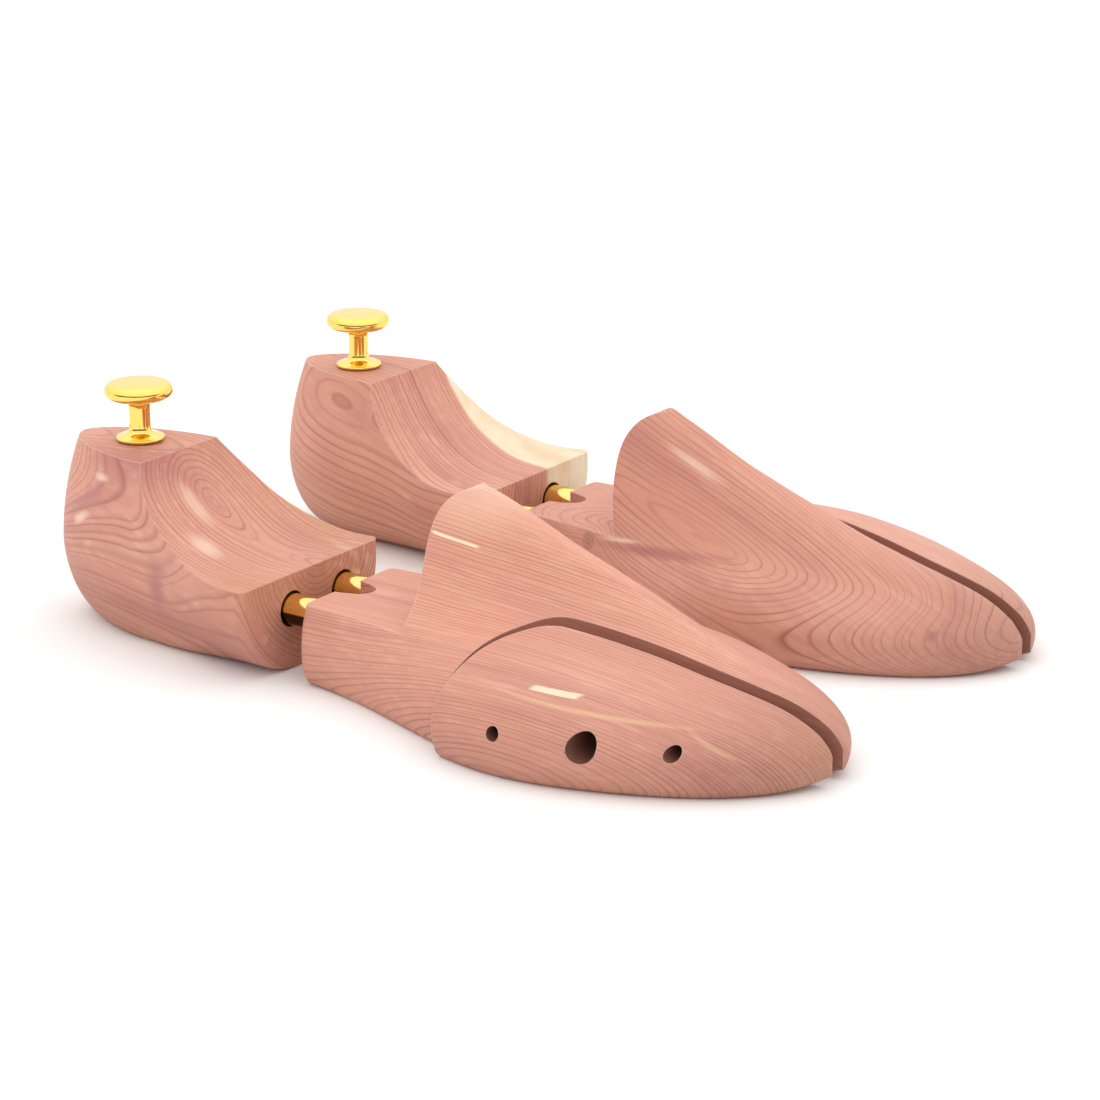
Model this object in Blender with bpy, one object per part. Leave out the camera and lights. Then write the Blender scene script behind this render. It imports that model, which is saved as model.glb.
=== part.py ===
"""Pair of split-toe shoe trees: cedar heel, toe and side blocks on sprung brass tubes, each with a brass pull.

Metres, +Z up. The right tree stands at -Y and the left one, its mirror image, at +Y, toes towards +X.
Each tree is drawn in its own frame first: X from the back of the heel to the toe tip, Y = 0 midway
between its two tubes with the outer side of the foot at -Y, and Z = 0 on the surface it stands on.
"""

import math

import bmesh
import bpy
from mathutils import Matrix, Vector

# The pair
TREE_SPACING = 0.112

# Heel block
HEEL_LENGTH = 0.098
HEEL_HEIGHT = 0.057
HEEL_TOP_FRONT = 0.0453
HEEL_TOP_BACK = 0.0055
HEEL_BULB_HEIGHT = 0.025
HEEL_SOLE_BACK = 0.015
HEEL_CORNER = 0.003

# Slope of the heel block, from its top's front edge down to the level run behind the front face
SLOPE_STEEP_RUN = 0.0052
SLOPE_STEEP_DROP = 0.012
SLOPE_SWEEP_RUN = 0.0217
SLOPE_LEVEL_RUN = 0.009
SLOPE_FOOT_HEIGHT = 0.0298

# Heel block, stations along it: (distance from its back, half width, or how far the underside tucks in)
HEEL_OUTER_LOW = ((HEEL_TOP_FRONT, 0.0256), (0.0563, 0.0268), (0.0790, 0.0328), (HEEL_LENGTH, 0.0362))
HEEL_OUTER_HIGH = ((HEEL_TOP_FRONT, 0.0188), (0.0563, 0.0250), (0.0790, 0.0325), (HEEL_LENGTH, 0.0330))
HEEL_OUTER_TUCK = ((0, 0.0125), (0.0533, 0.0085), (0.0860, 0.0220), (HEEL_LENGTH, 0.0245))
HEEL_INNER_LOW = ((HEEL_TOP_FRONT, 0.0250), (0.0563, 0.0260), (0.0790, 0.0302), (HEEL_LENGTH, 0.0308))
HEEL_INNER_HIGH = ((HEEL_TOP_FRONT, 0.0166), (0.0563, 0.0226), (0.0790, 0.0295), (HEEL_LENGTH, 0.0290))
HEEL_INNER_TUCK = ((0, 0.0160), (0.0533, 0.0185), (0.0860, 0.0240), (HEEL_LENGTH, 0.0240))

# Toe block, as it is before the split
HEEL_GAP = 0.0115
TOE_LENGTH = 0.1695
TOE_TIP_Y = 0.002
NOSE_BLUNTNESS = 0.0005
REAR_HALF_WIDTH_OUTER = 0.0242
REAR_HALF_WIDTH_INNER = 0.0223
BALL_HALF_WIDTH_OUTER = 0.047
BALL_HALF_WIDTH_INNER = 0.0455
BALL_OUTER_FROM_REAR = 0.0915
BALL_INNER_FROM_REAR = 0.0995
CREST_HEIGHT = 0.0623
CREST_FROM_REAR = 0.0475
CREST_BACK_FROM_REAR = 0.0353
CREST_ROUND_HEIGHT = 0.0158
CREST_FULLNESS = 0.85
STEP_UNDERCUT = 0.0043
REAR_CORNER = 0.0025
SHELF_COVER = 0.0007
SHANK_RISE = 0.001
NOTCH_HALF_WIDTH = 0.0062
NOTCH_DEPTH = 0.0095

# Toe block, stations along it: (distance from its rear, value)
WIDEST_LEVEL = ((0, 0.010), (0.035, 0.008), (0.085, 0.010), (0.135, 0.009), (TOE_LENGTH, 0.0075))
SOLE_LEVEL = ((0, SHANK_RISE), (0.02, 0), (0.143, 0), (0.153, 0.0003), (0.160, 0.0009), (0.1655, 0.0020),
              (TOE_LENGTH, 0.0034))
DOME_LEVEL = ((0, 0.036), (0.030, 0.033), (0.06, 0.031), (0.085, 0.0305), (0.11, 0.0277), (0.135, 0.0230),
              (TOE_LENGTH - 0.0145, 0.0187), (TOE_LENGTH - 0.0045, 0.0145), (TOE_LENGTH - 0.001, 0.011),
              (TOE_LENGTH, 0.0092))
RIDGE_LEVEL = ((0, 0.0795), (0.0495, 0.0625), (0.0745, 0.0505),
               (0.0875, 0.0450), (0.1015, 0.0393), (0.1145, 0.0336), (0.1295, 0.0278), (0.1425, 0.0240),
               (TOE_LENGTH - 0.015, 0.0205), (TOE_LENGTH - 0.0045, 0.0150), (TOE_LENGTH - 0.001, 0.0112),
               (TOE_LENGTH, 0.0094))
RIDGE_Y = ((0, 0.005), (0.038, 0.005), (0.053, 0.0065), (0.085, 0.007), (0.145, 0.005))
RIDGE_OUTER_SPREAD = ((0.035, 0.0125), (0.055, 0.012), (0.085, 0.0105), (0.11, 0.010))
RIDGE_INNER_SPREAD = ((0.035, 0.0225), (0.052, 0.0185), (0.085, 0.0155), (0.11, 0.0135), (0.14, 0.009))
SOLE_EDGE_RADIUS = ((0, 0.003), (0.035, 0.003), (0.085, 0.004), (0.125, 0.006), (TOE_LENGTH, 0.004))
DOME_POWER = 2.15
RIDGE_OUTER_POWER = 2.1
RIDGE_INNER_POWER = 3.2

# Split between the toe block and its side block
SAW_KERF = 0.001
SIDE_SPREAD = 0.005
SPLIT_BACK_FROM_REAR = 0.0585
SPLIT_REACH = 0.0155
SPLIT_ENTRY_RISE = 0.009
SPLIT_BEND_LEAD = 0.0045
SPLIT_BEND_DROP = 0.0035
SPLIT_STRAIGHT_FROM_REAR = 0.0864
SPLIT_Y_BALL = -0.0063
SPLIT_Y_TOE = 0.0022

# Tubes, and what runs inside them
TUBE_SPACING = 0.02445
TUBE_HEIGHT = 0.0188
TUBE_RADIUS = 0.0049
TUBE_WALL = 0.0008
TUBE_LIP = 0.0016
TUBE_IN_TOE = 0.036
TUBE_IN_HEEL = 0.038
TUBE_SEAT_CLEARANCE = 0.0003
BORE_CLEARANCE = 0.0007
SPRING_ROOM = 0.022
ROD_RADIUS = 0.0016
ROD_POINT = 0.002
ROD_HEAD_RADIUS = 0.0036
ROD_HEAD_LENGTH = 0.003
ROD_IN_WOOD = 0.011
MAIN_SPRING_RADIUS = 0.0037
MAIN_SPRING_WIRE = 0.0007
MAIN_SPRING_TURNS = 6
TUBE_PIN_RADIUS = 0.001
TUBE_PIN_FROM_REAR = 0.012
TUBE_PIN_SINK = 0.0015

# Guides of the side block
GUIDE_HEIGHT = 0.0135
REAR_GUIDE_FROM_REAR = 0.0901
STOP_SCREW_FROM_REAR = 0.1161
FRONT_GUIDE_FROM_REAR = 0.1387
GUIDE_PIN_RADIUS = 0.0018
GUIDE_HOLE_CLEARANCE = 0.0003
GUIDE_PIN_IN_TOE = 0.016
GUIDE_PIN_IN_SIDE = 0.012
STOP_HEAD_RADIUS = 0.0038
STOP_HEAD_LENGTH = 0.003
STOP_SHANK_RADIUS = 0.0016
STOP_POINT = 0.003
STOP_SCREW_IN_TOE = 0.022
STOP_LEDGE = 0.008
SIDE_SPRING_RADIUS = 0.0036
SIDE_SPRING_WIRE = 0.0006
SIDE_SPRING_TURNS = 4
SIDE_SPRING_SEAT = 0.003

# Pull
PULL_FROM_BACK = 0.0278
PULL_TO_INNER = 0.001
PULL_RADIUS = 0.0107
PULL_DISC_THICKNESS = 0.0048
PULL_CROWN_RISE = 0.0003
PULL_HEIGHT = 0.0187
PULL_STEM_RADIUS = 0.0033
PULL_NECK_SPREAD = 0.0032
PULL_FLANGE_RADIUS = 0.0076
PULL_FLANGE_EDGE = 0.0012
PULL_FLARE_HEIGHT = 0.0048
STUD_RADIUS = 0.002
STUD_POINT = 0.003
STUD_IN_PULL = 0.009
STUD_IN_HEEL = 0.016

# Air between fitted pieces, and how finely round ones are drawn
GAP = 0.0003
MERGE_DISTANCE = 0.000002
ROUND_SIDES = 20
SMALL_ROUND_SIDES = 12
WIRE_POINTS_PER_TURN = 8

# Places that follow from the sizes above
TOE_REAR = HEEL_LENGTH + HEEL_GAP
TREE_LENGTH = TOE_REAR + TOE_LENGTH
SHELF_HEIGHT = TUBE_HEIGHT + TUBE_RADIUS + TUBE_SEAT_CLEARANCE + SHELF_COVER
BORE_RADIUS = TUBE_RADIUS + BORE_CLEARANCE
TUBE_BACK = HEEL_LENGTH - TUBE_IN_HEEL
TUBE_FRONT = TOE_REAR + TUBE_IN_TOE
BORE_BOTTOM = TUBE_BACK - SPRING_ROOM
ROD_BACK = BORE_BOTTOM - ROD_IN_WOOD
TUBE_PIN_FOOT = SHANK_RISE + TUBE_PIN_SINK
TUBE_PIN_TOP = TUBE_HEIGHT - TUBE_RADIUS + TUBE_WALL + GAP
STOP_X = TOE_REAR + STOP_SCREW_FROM_REAR
SPRING_SEAT_RADIUS = SIDE_SPRING_RADIUS + SIDE_SPRING_WIRE + GAP


# Curves that the blocks are drawn with

def smooth_step(t):
    t = min(max(t, 0.0), 1.0)
    return t * t * (3.0 - 2.0 * t)


def bezier(ends_and_handles, t):
    p0, p1, p2, p3 = (Vector(point) for point in ends_and_handles)
    s = 1.0 - t
    return s**3 * p0 + 3 * s * s * t * p1 + 3 * s * t * t * p2 + t**3 * p3


def fair_curve(stations):
    """A function that passes through a few (x, value) stations with no overshoot between them."""
    xs = [station[0] for station in stations]
    ys = [station[1] for station in stations]
    slopes = [(ys[i + 1] - ys[i]) / (xs[i + 1] - xs[i]) for i in range(len(xs) - 1)]
    tangents = [slopes[0]]
    for before, after in zip(slopes, slopes[1:]):
        tangents.append(2 * before * after / (before + after) if before * after > 0 else 0.0)
    tangents.append(slopes[-1])

    def value(x):
        x = min(max(x, xs[0]), xs[-1])
        i = max(k for k in range(len(slopes)) if x >= xs[k])
        h = xs[i + 1] - xs[i]
        t = (x - xs[i]) / h
        rise = (2 * t**3 - 3 * t**2 + 1) * ys[i] + (3 * t**2 - 2 * t**3) * ys[i + 1]
        lean = (t**3 - 2 * t**2 + t) * tangents[i] + (t**3 - t**2) * tangents[i + 1]
        return rise + h * lean

    return value


# Meshes

def mesh_from(name, build):
    """A mesh whose bmesh is filled by build(bm), with its faces turned outwards."""
    bm = bmesh.new()
    build(bm)
    bmesh.ops.recalc_face_normals(bm, faces=bm.faces)
    mesh = bpy.data.meshes.new(name)
    bm.to_mesh(mesh)
    bm.free()
    return mesh


def loft(name, rings):
    """A closed body through rings of equally many points, capped at both ends."""
    def build(bm):
        rows = [[bm.verts.new(point) for point in ring] for ring in rings]
        count = len(rows[0])
        for row, following in zip(rows, rows[1:]):
            for k in range(count):
                j = (k + 1) % count
                bm.faces.new((row[k], row[j], following[j], following[k]))
        bm.faces.new(rows[0])
        bm.faces.new(list(reversed(rows[-1])))
    return mesh_from(name, build)


def prism(name, outline, low, high, upright):
    """An outline extruded along Z from low to high when upright, and along Y if not."""
    def at(point, level):
        return (point[0], point[1], level) if upright else (point[0], level, point[1])
    return loft(name, [[at(point, level) for point in outline] for level in (low, high)])


def turned(name, profile, sides=ROUND_SIDES):
    """A body turned about Z from (radius, z) points; a radius of 0 closes an end on the axis."""
    def build(bm):
        rows = []
        for radius, z in profile:
            if radius == 0:
                rows.append([bm.verts.new((0, 0, z))])
                continue
            angles = [2 * math.pi * k / sides for k in range(sides)]
            rows.append([bm.verts.new((radius * math.cos(a), radius * math.sin(a), z)) for a in angles])
        closed = rows if profile[0][0] == 0 else rows + rows[:1]
        for row, following in zip(closed, closed[1:]):
            for k in range(sides):
                j = (k + 1) % sides
                if len(row) == 1:
                    bm.faces.new((row[0], following[j], following[k]))
                elif len(following) == 1:
                    bm.faces.new((row[k], row[j], following[0]))
                else:
                    bm.faces.new((row[k], row[j], following[j], following[k]))
    return mesh_from(name, build)


def stepped_rod(steps):
    """The turned profile of a rod or a drill made of (radius, low, high) steps, one after the other."""
    profile = [(0, steps[0][1])]
    for radius, low, high in steps:
        profile += [(radius, low), (radius, high)]
    return profile + [(0, steps[-1][2])]


def plain_rod(radius, low, high):
    return stepped_rod([(radius, low, high)])


def coil(name, radius, wire_radius, turns, length):
    """An open wire helix about Z, from z = 0 to z = length over the wire."""
    curve = bpy.data.curves.new(name, "CURVE")
    curve.dimensions = "3D"
    curve.bevel_depth = wire_radius
    curve.bevel_resolution = 0
    curve.use_fill_caps = True
    spline = curve.splines.new("POLY")
    steps = turns * WIRE_POINTS_PER_TURN
    spline.points.add(steps)
    rise = length - 2 * wire_radius
    for k, point in enumerate(spline.points):
        angle = 2 * math.pi * k / WIRE_POINTS_PER_TURN
        z = wire_radius + rise * k / steps
        point.co = (radius * math.cos(angle), radius * math.sin(angle), z, 1)
    helper = bpy.data.objects.new(name, curve)
    wound = bpy.data.meshes.new_from_object(helper)
    bpy.data.objects.remove(helper)
    mesh = welded(name, wound)
    pitch = rise / turns
    print(f"{name}: least gap between turns {1000 * (pitch - 2 * wire_radius):.2f} mm")
    return mesh


def moved(mesh, matrix):
    """A copy of a mesh put through a matrix, still facing outwards when the matrix mirrors it."""
    copy = mesh.copy()
    copy.transform(matrix)
    if matrix.determinant() < 0:
        copy.flip_normals()
    return copy


def welded(name, mesh):
    """The mesh in triangles, with the points that all but touch made one."""
    def weld(bm):
        bm.from_mesh(mesh)
        bmesh.ops.triangulate(bm, faces=bm.faces)
        bmesh.ops.dissolve_degenerate(bm, dist=MERGE_DISTANCE, edges=bm.edges)
        bmesh.ops.remove_doubles(bm, verts=bm.verts, dist=MERGE_DISTANCE)
    return mesh_from(name, weld)


def carved(name, blank, cuts):
    """The blank after each (operation, tool mesh) in turn."""
    body = bpy.data.objects.new(name, blank)
    bpy.context.scene.collection.objects.link(body)
    tools = []
    for operation, tool_mesh in cuts:
        tool = bpy.data.objects.new(name + "_tool", tool_mesh)
        tool.hide_render = True
        tool.display_type = "WIRE"
        bpy.context.scene.collection.objects.link(tool)
        modifier = body.modifiers.new("cut", "BOOLEAN")
        modifier.object = tool
        modifier.operation = operation
        modifier.solver = "EXACT"
        tools.append(tool)
    bpy.context.view_layer.update()
    result = bpy.data.meshes.new_from_object(body.evaluated_get(bpy.context.evaluated_depsgraph_get()))
    for helper in [body] + tools:
        bpy.data.objects.remove(helper)
    return welded(name, result)


# Directions that turned pieces are laid along

ALONG_X = Matrix.Rotation(math.pi / 2, 4, "Y")
TOWARDS_INNER = Matrix.Rotation(-math.pi / 2, 4, "X")


def at(x, y, z):
    return Matrix.Translation((x, y, z))


# Wood blocks, in the right tree's frame

def heel_back(z):
    """Where the back of the heel block is at height z, with how far z is above and below the bulb."""
    lift = max(z - HEEL_BULB_HEIGHT, 0.0) / (HEEL_HEIGHT - HEEL_BULB_HEIGHT)
    drop = max(HEEL_BULB_HEIGHT - z, 0.0) / HEEL_BULB_HEIGHT
    round_under = 1.0 - math.sqrt(max(1.0 - drop * drop, 0.0))
    return HEEL_TOP_BACK * lift**2.2 + HEEL_SOLE_BACK * round_under, lift, drop, round_under


def heel_half_width(x, z, low, high, tuck):
    """Half width of one side of the heel block at height z: a bulb behind, a shallow scoop, then a flare."""
    back, lift, drop, round_under = heel_back(z)
    wall = fair_curve(low)(x) + (fair_curve(high)(x) - fair_curve(low)(x)) * lift**1.8
    wall -= fair_curve(tuck)(x) * round_under * (x > back)
    t = max(HEEL_TOP_FRONT - x, 0.0) / (HEEL_TOP_FRONT - back)
    power = 2.0 - 0.2 * lift - 0.3 * drop
    root = 0.5 + 0.05 * lift
    return wall * max(1.0 - t**power, 0.0) ** root


def heel_side(z, curves):
    """One side of the heel block's level outline at z, from its back to the middle of the front corner."""
    back = heel_back(z)[0]
    half = []
    back_steps = 9
    for k in range(1, back_steps):
        x = back + (HEEL_TOP_FRONT - back) * (1 - math.cos(math.pi / 2 * k / back_steps))
        half.append((x, heel_half_width(x, z, *curves)))
    front_steps = 7
    straight_end = HEEL_LENGTH - HEEL_CORNER
    for k in range(front_steps + 1):
        x = HEEL_TOP_FRONT + (straight_end - HEEL_TOP_FRONT) * k / front_steps
        half.append((x, heel_half_width(x, z, *curves)))
    corner_y = half[-1][1] - HEEL_CORNER
    for k in (1, 2, 3):
        turn = math.pi / 2 * k / 3
        half.append((straight_end + HEEL_CORNER * math.sin(turn), corner_y + HEEL_CORNER * math.cos(turn)))
    return half


def heel_ring(z):
    outer = [(x, -y, z) for x, y in heel_side(z, (HEEL_OUTER_LOW, HEEL_OUTER_HIGH, HEEL_OUTER_TUCK))]
    inner = [(x, y, z) for x, y in heel_side(z, (HEEL_INNER_LOW, HEEL_INNER_HIGH, HEEL_INNER_TUCK))]
    return [(heel_back(z)[0], 0.0, z)] + outer + inner[::-1]


def heel_slope_outline():
    """Side view of what is planed off above the heel block's slope."""
    handles = [(HEEL_TOP_FRONT, HEEL_HEIGHT, 0),
               (HEEL_TOP_FRONT + SLOPE_STEEP_RUN, HEEL_HEIGHT - SLOPE_STEEP_DROP, 0),
               (HEEL_TOP_FRONT + SLOPE_SWEEP_RUN, SLOPE_FOOT_HEIGHT, 0),
               (HEEL_LENGTH - SLOPE_LEVEL_RUN, SLOPE_FOOT_HEIGHT, 0)]
    steps = 12
    slope = [tuple(bezier(handles, k / steps))[:2] for k in range(steps + 1)]
    above = 2 * HEEL_HEIGHT
    beyond = HEEL_LENGTH + HEEL_GAP
    run_out = (HEEL_TOP_FRONT - SLOPE_STEEP_RUN / 4, HEEL_HEIGHT + SLOPE_STEEP_DROP / 4)
    return [run_out] + slope + [(beyond, SLOPE_FOOT_HEIGHT), (beyond, above), (run_out[0], above)]


def heel_block():
    levels = [HEEL_BULB_HEIGHT * (1 - math.cos(math.pi / 2 * k / 7)) for k in range(8)]
    levels += [HEEL_BULB_HEIGHT + (HEEL_HEIGHT - HEEL_BULB_HEIGHT) * k / 7 for k in range(1, 8)]
    blank = loft("heel_blank", [heel_ring(z) for z in levels])
    reach = HEEL_LENGTH
    cuts = [("DIFFERENCE", prism("slope", heel_slope_outline(), -reach, reach, upright=False))]
    bore = turned("bore", stepped_rod([(ROD_RADIUS + GAP, ROD_BACK - GAP, BORE_BOTTOM),
                                       (BORE_RADIUS, BORE_BOTTOM, HEEL_LENGTH + HEEL_GAP)]))
    for y in tube_places():
        cuts.append(("DIFFERENCE", moved(bore, at(0, y, TUBE_HEIGHT) @ ALONG_X)))
    stud_hole = turned("stud_hole", plain_rod(STUD_RADIUS + GAP, 0, HEEL_HEIGHT))
    stud_foot = HEEL_HEIGHT - STUD_IN_HEEL - GAP
    cuts.append(("DIFFERENCE", moved(stud_hole, at(PULL_FROM_BACK, PULL_TO_INNER, stud_foot))))
    return carved("heel_block", blank, cuts)


def toe_half_widths(x):
    """Distance from Y = 0 to the outer and to the inner side of the uncut toe block."""
    found = []
    for rear, ball, ball_from_rear, tip_y, sharpness in (
        (REAR_HALF_WIDTH_OUTER, BALL_HALF_WIDTH_OUTER, BALL_OUTER_FROM_REAR, -TOE_TIP_Y, 1.6),
        (REAR_HALF_WIDTH_INNER, BALL_HALF_WIDTH_INNER, BALL_INNER_FROM_REAR, TOE_TIP_Y, 1.65),
    ):
        ball_x = TOE_REAR + ball_from_rear
        if x < ball_x:
            found.append(ball - (ball - rear) * smooth_step((ball_x - x) / ball_from_rear))
        else:
            t = (x - ball_x) / (TREE_LENGTH + NOSE_BLUNTNESS - ball_x)
            found.append(tip_y + (ball - tip_y) * (1 - t**1.75) ** (1 / sharpness))
    return found


def along_toe(stations):
    """A fair curve through (distance from the toe block's rear, value) stations."""
    return fair_curve([(TOE_REAR + distance, value) for distance, value in stations])


def toe_section(x, inset=0.0):
    """The uncut toe block's section at x: a dome with the instep ridge on it, and a rounded sole edge."""
    outer, inner = (half - inset for half in toe_half_widths(x))
    widest = along_toe(WIDEST_LEVEL)(x)
    sole = along_toe(SOLE_LEVEL)(x) + inset
    dome = along_toe(DOME_LEVEL)(x)
    ridge = along_toe(RIDGE_LEVEL)(x)
    ridge_y = along_toe(RIDGE_Y)(x)
    outer_spread = along_toe(RIDGE_OUTER_SPREAD)(x)
    inner_spread = along_toe(RIDGE_INNER_SPREAD)(x)
    edge = min(along_toe(SOLE_EDGE_RADIUS)(x), 0.48 * (outer + inner))
    fullness = 2 / DOME_POWER
    middle = (inner - outer) / 2
    half = (inner + outer) / 2
    points = []
    over_steps = 27
    for k in range(over_steps + 1):
        angle = math.pi * (1 - k / over_steps)
        across = math.copysign(abs(math.cos(angle)) ** fullness, math.cos(angle))
        up = abs(math.sin(angle)) ** fullness
        y = middle + half * across
        outside = y < ridge_y
        spread = outer_spread if outside else inner_spread
        power = RIDGE_OUTER_POWER if outside else RIDGE_INNER_POWER
        bump = max(ridge - dome, 0.0) * math.exp(-(abs(y - ridge_y) / spread) ** power)
        points.append((x, y, widest + (dome - widest) * up + bump * math.sin(angle)))
    under_steps = 4
    for k in range(1, under_steps + 1):
        turn = math.pi / 2 * k / under_steps
        points.append((x, inner - edge * (1 - math.cos(turn)), widest - (widest - sole) * math.sin(turn)))
    for k in range(under_steps, 0, -1):
        turn = math.pi / 2 * k / under_steps
        points.append((x, edge * (1 - math.cos(turn)) - outer, widest - (widest - sole) * math.sin(turn)))
    return points


def toe_blank():
    """The last-shaped block that the toe block and the side block are both sawn from."""
    rings = []
    for k in range(4):
        turn = math.pi / 2 * k / 3
        inset = REAR_CORNER * (1 - math.sin(turn))
        rings.append(toe_section(TOE_REAR + REAR_CORNER * (1 - math.cos(turn)), inset))
    body_end = TOE_REAR + BALL_INNER_FROM_REAR
    body_start = TOE_REAR + REAR_CORNER
    body_steps = 10
    for k in range(1, body_steps + 1):
        rings.append(toe_section(body_start + (body_end - body_start) * k / body_steps))
    nose_steps = 13
    for k in range(1, nose_steps + 1):
        x = body_end + (TREE_LENGTH - body_end) * math.sin(math.pi / 2 * k / nose_steps)
        rings.append(toe_section(x))
    return loft("toe_blank", rings)


def step_outline():
    """Side view of what is milled away behind the crest: a level shelf, an undercut face and a rounded crest."""
    back = TOE_REAR + CREST_BACK_FROM_REAR
    crest = TOE_REAR + CREST_FROM_REAR
    before = TOE_REAR - HEEL_GAP
    round_from = CREST_HEIGHT - CREST_ROUND_HEIGHT
    points = [(before, SHELF_HEIGHT)]
    for k in range(6):
        up = k / 6
        points.append((back + STEP_UNDERCUT * (1 - up) ** 2, SHELF_HEIGHT + up * (round_from - SHELF_HEIGHT)))
    for k in range(11):
        turn = math.radians(115) * k / 10
        across = math.copysign(abs(math.cos(turn)) ** CREST_FULLNESS, math.cos(turn))
        points.append((crest - (crest - back) * across,
                       round_from + CREST_ROUND_HEIGHT * math.sin(turn) ** CREST_FULLNESS))
    above = 2 * CREST_HEIGHT
    far = TREE_LENGTH
    return points + [(far, points[-1][1]), (far, above), (before, above)]


def notch_outline():
    """Plan of the pointed notch that is sawn into the shelf between the tubes."""
    before = TOE_REAR - HEEL_GAP / 2
    tip = TOE_REAR + NOTCH_DEPTH
    side = []
    for k in range(5):
        t = k / 4
        side.append((TOE_REAR + NOTCH_DEPTH * math.sin(math.pi / 2 * t),
                     NOTCH_HALF_WIDTH * (1 - t) ** 0.8 * (1 + 0.35 * t)))
    outer = [(x, -y) for x, y in side[:-1]]
    inner = [(x, y) for x, y in reversed(side[:-1])]
    return [(before, -NOTCH_HALF_WIDTH)] + outer + [(tip, 0.0)] + inner + [(before, NOTCH_HALF_WIDTH)]


def split_line(shift):
    """Plan of the saw cut, moved towards the outer side by shift: in from the side, round, then to the toe."""
    back = TOE_REAR + SPLIT_BACK_FROM_REAR
    edge_y = -BALL_HALF_WIDTH_OUTER - SIDE_SPREAD
    corner = [(back, edge_y, 0), (back + SPLIT_REACH, edge_y + SPLIT_ENTRY_RISE, 0),
              (back + SPLIT_BEND_LEAD, SPLIT_Y_BALL - SPLIT_BEND_DROP, 0),
              (TOE_REAR + SPLIT_STRAIGHT_FROM_REAR, SPLIT_Y_BALL, 0)]
    steps = 12
    points = [bezier(corner, k / steps) for k in range(steps + 1)]
    toe_end = Vector((TREE_LENGTH + 2 * SAW_KERF, SPLIT_Y_TOE, 0))
    straight_steps = 5
    start = points[-1]
    points += [start.lerp(toe_end, k / straight_steps) for k in range(1, straight_steps + 1)]
    placed = []
    for k, point in enumerate(points):
        along = (points[min(k + 1, len(points) - 1)] - points[max(k - 1, 0)]).normalized()
        placed.append((point.x + shift * along.y, point.y - shift * along.x))
    return placed


def split_tool(shift):
    """Everything on the outer side of the saw cut, as a cutting tool."""
    line = split_line(shift)
    outside = -2 * BALL_HALF_WIDTH_OUTER
    low, high = -CREST_HEIGHT, 2 * CREST_HEIGHT
    return prism("split", line + [(line[-1][0], outside), (line[0][0], outside)], low, high, upright=True)


def tube_places():
    return (-TUBE_SPACING / 2, TUBE_SPACING / 2)


def guide_places():
    return (TOE_REAR + REAR_GUIDE_FROM_REAR, TOE_REAR + FRONT_GUIDE_FROM_REAR)


def split_y(x):
    """Where the split's middle line crosses x, ahead of its bend."""
    straight_x = TOE_REAR + SPLIT_STRAIGHT_FROM_REAR
    share = (x - straight_x) / (TREE_LENGTH + 2 * SAW_KERF - straight_x)
    return SPLIT_Y_BALL + (SPLIT_Y_TOE - SPLIT_Y_BALL) * share


def toe_block():
    reach = 2 * BALL_HALF_WIDTH_OUTER
    cuts = [
        ("DIFFERENCE", prism("step", step_outline(), -reach, reach, upright=False)),
        ("DIFFERENCE", split_tool(0)),
        ("DIFFERENCE", prism("notch", notch_outline(), -SHELF_HEIGHT, 2 * SHELF_HEIGHT, upright=True)),
    ]
    socket = turned("socket", plain_rod(TUBE_RADIUS + TUBE_SEAT_CLEARANCE, 0, TUBE_IN_TOE + HEEL_GAP))
    pin_hole = turned("pin_hole", plain_rod(TUBE_PIN_RADIUS + GAP, -SHELF_HEIGHT, TUBE_PIN_TOP + GAP),
                      SMALL_ROUND_SIDES)
    for y in tube_places():
        cuts.append(("DIFFERENCE", moved(socket, at(TOE_REAR - HEEL_GAP + GAP, y, TUBE_HEIGHT) @ ALONG_X)))
        cuts.append(("DIFFERENCE", moved(pin_hole, at(TOE_REAR + TUBE_PIN_FROM_REAR, y, 0))))
    pin_bore = turned("pin_bore", plain_rod(GUIDE_PIN_RADIUS + GAP, -reach, GUIDE_PIN_IN_TOE + GAP))
    for x in guide_places():
        cuts.append(("DIFFERENCE", moved(pin_bore, at(x, split_y(x), GUIDE_HEIGHT) @ TOWARDS_INNER)))
    screw_bore = turned("screw_bore", stepped_rod([
        (SPRING_SEAT_RADIUS, -reach, SIDE_SPRING_SEAT),
        (STOP_SHANK_RADIUS + GAP, SIDE_SPRING_SEAT, STOP_SCREW_IN_TOE + GAP),
    ]))
    place = at(STOP_X, split_y(STOP_X), GUIDE_HEIGHT) @ TOWARDS_INNER
    cuts.append(("DIFFERENCE", moved(screw_bore, place)))
    return carved("toe_block", toe_blank(), cuts)


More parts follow.
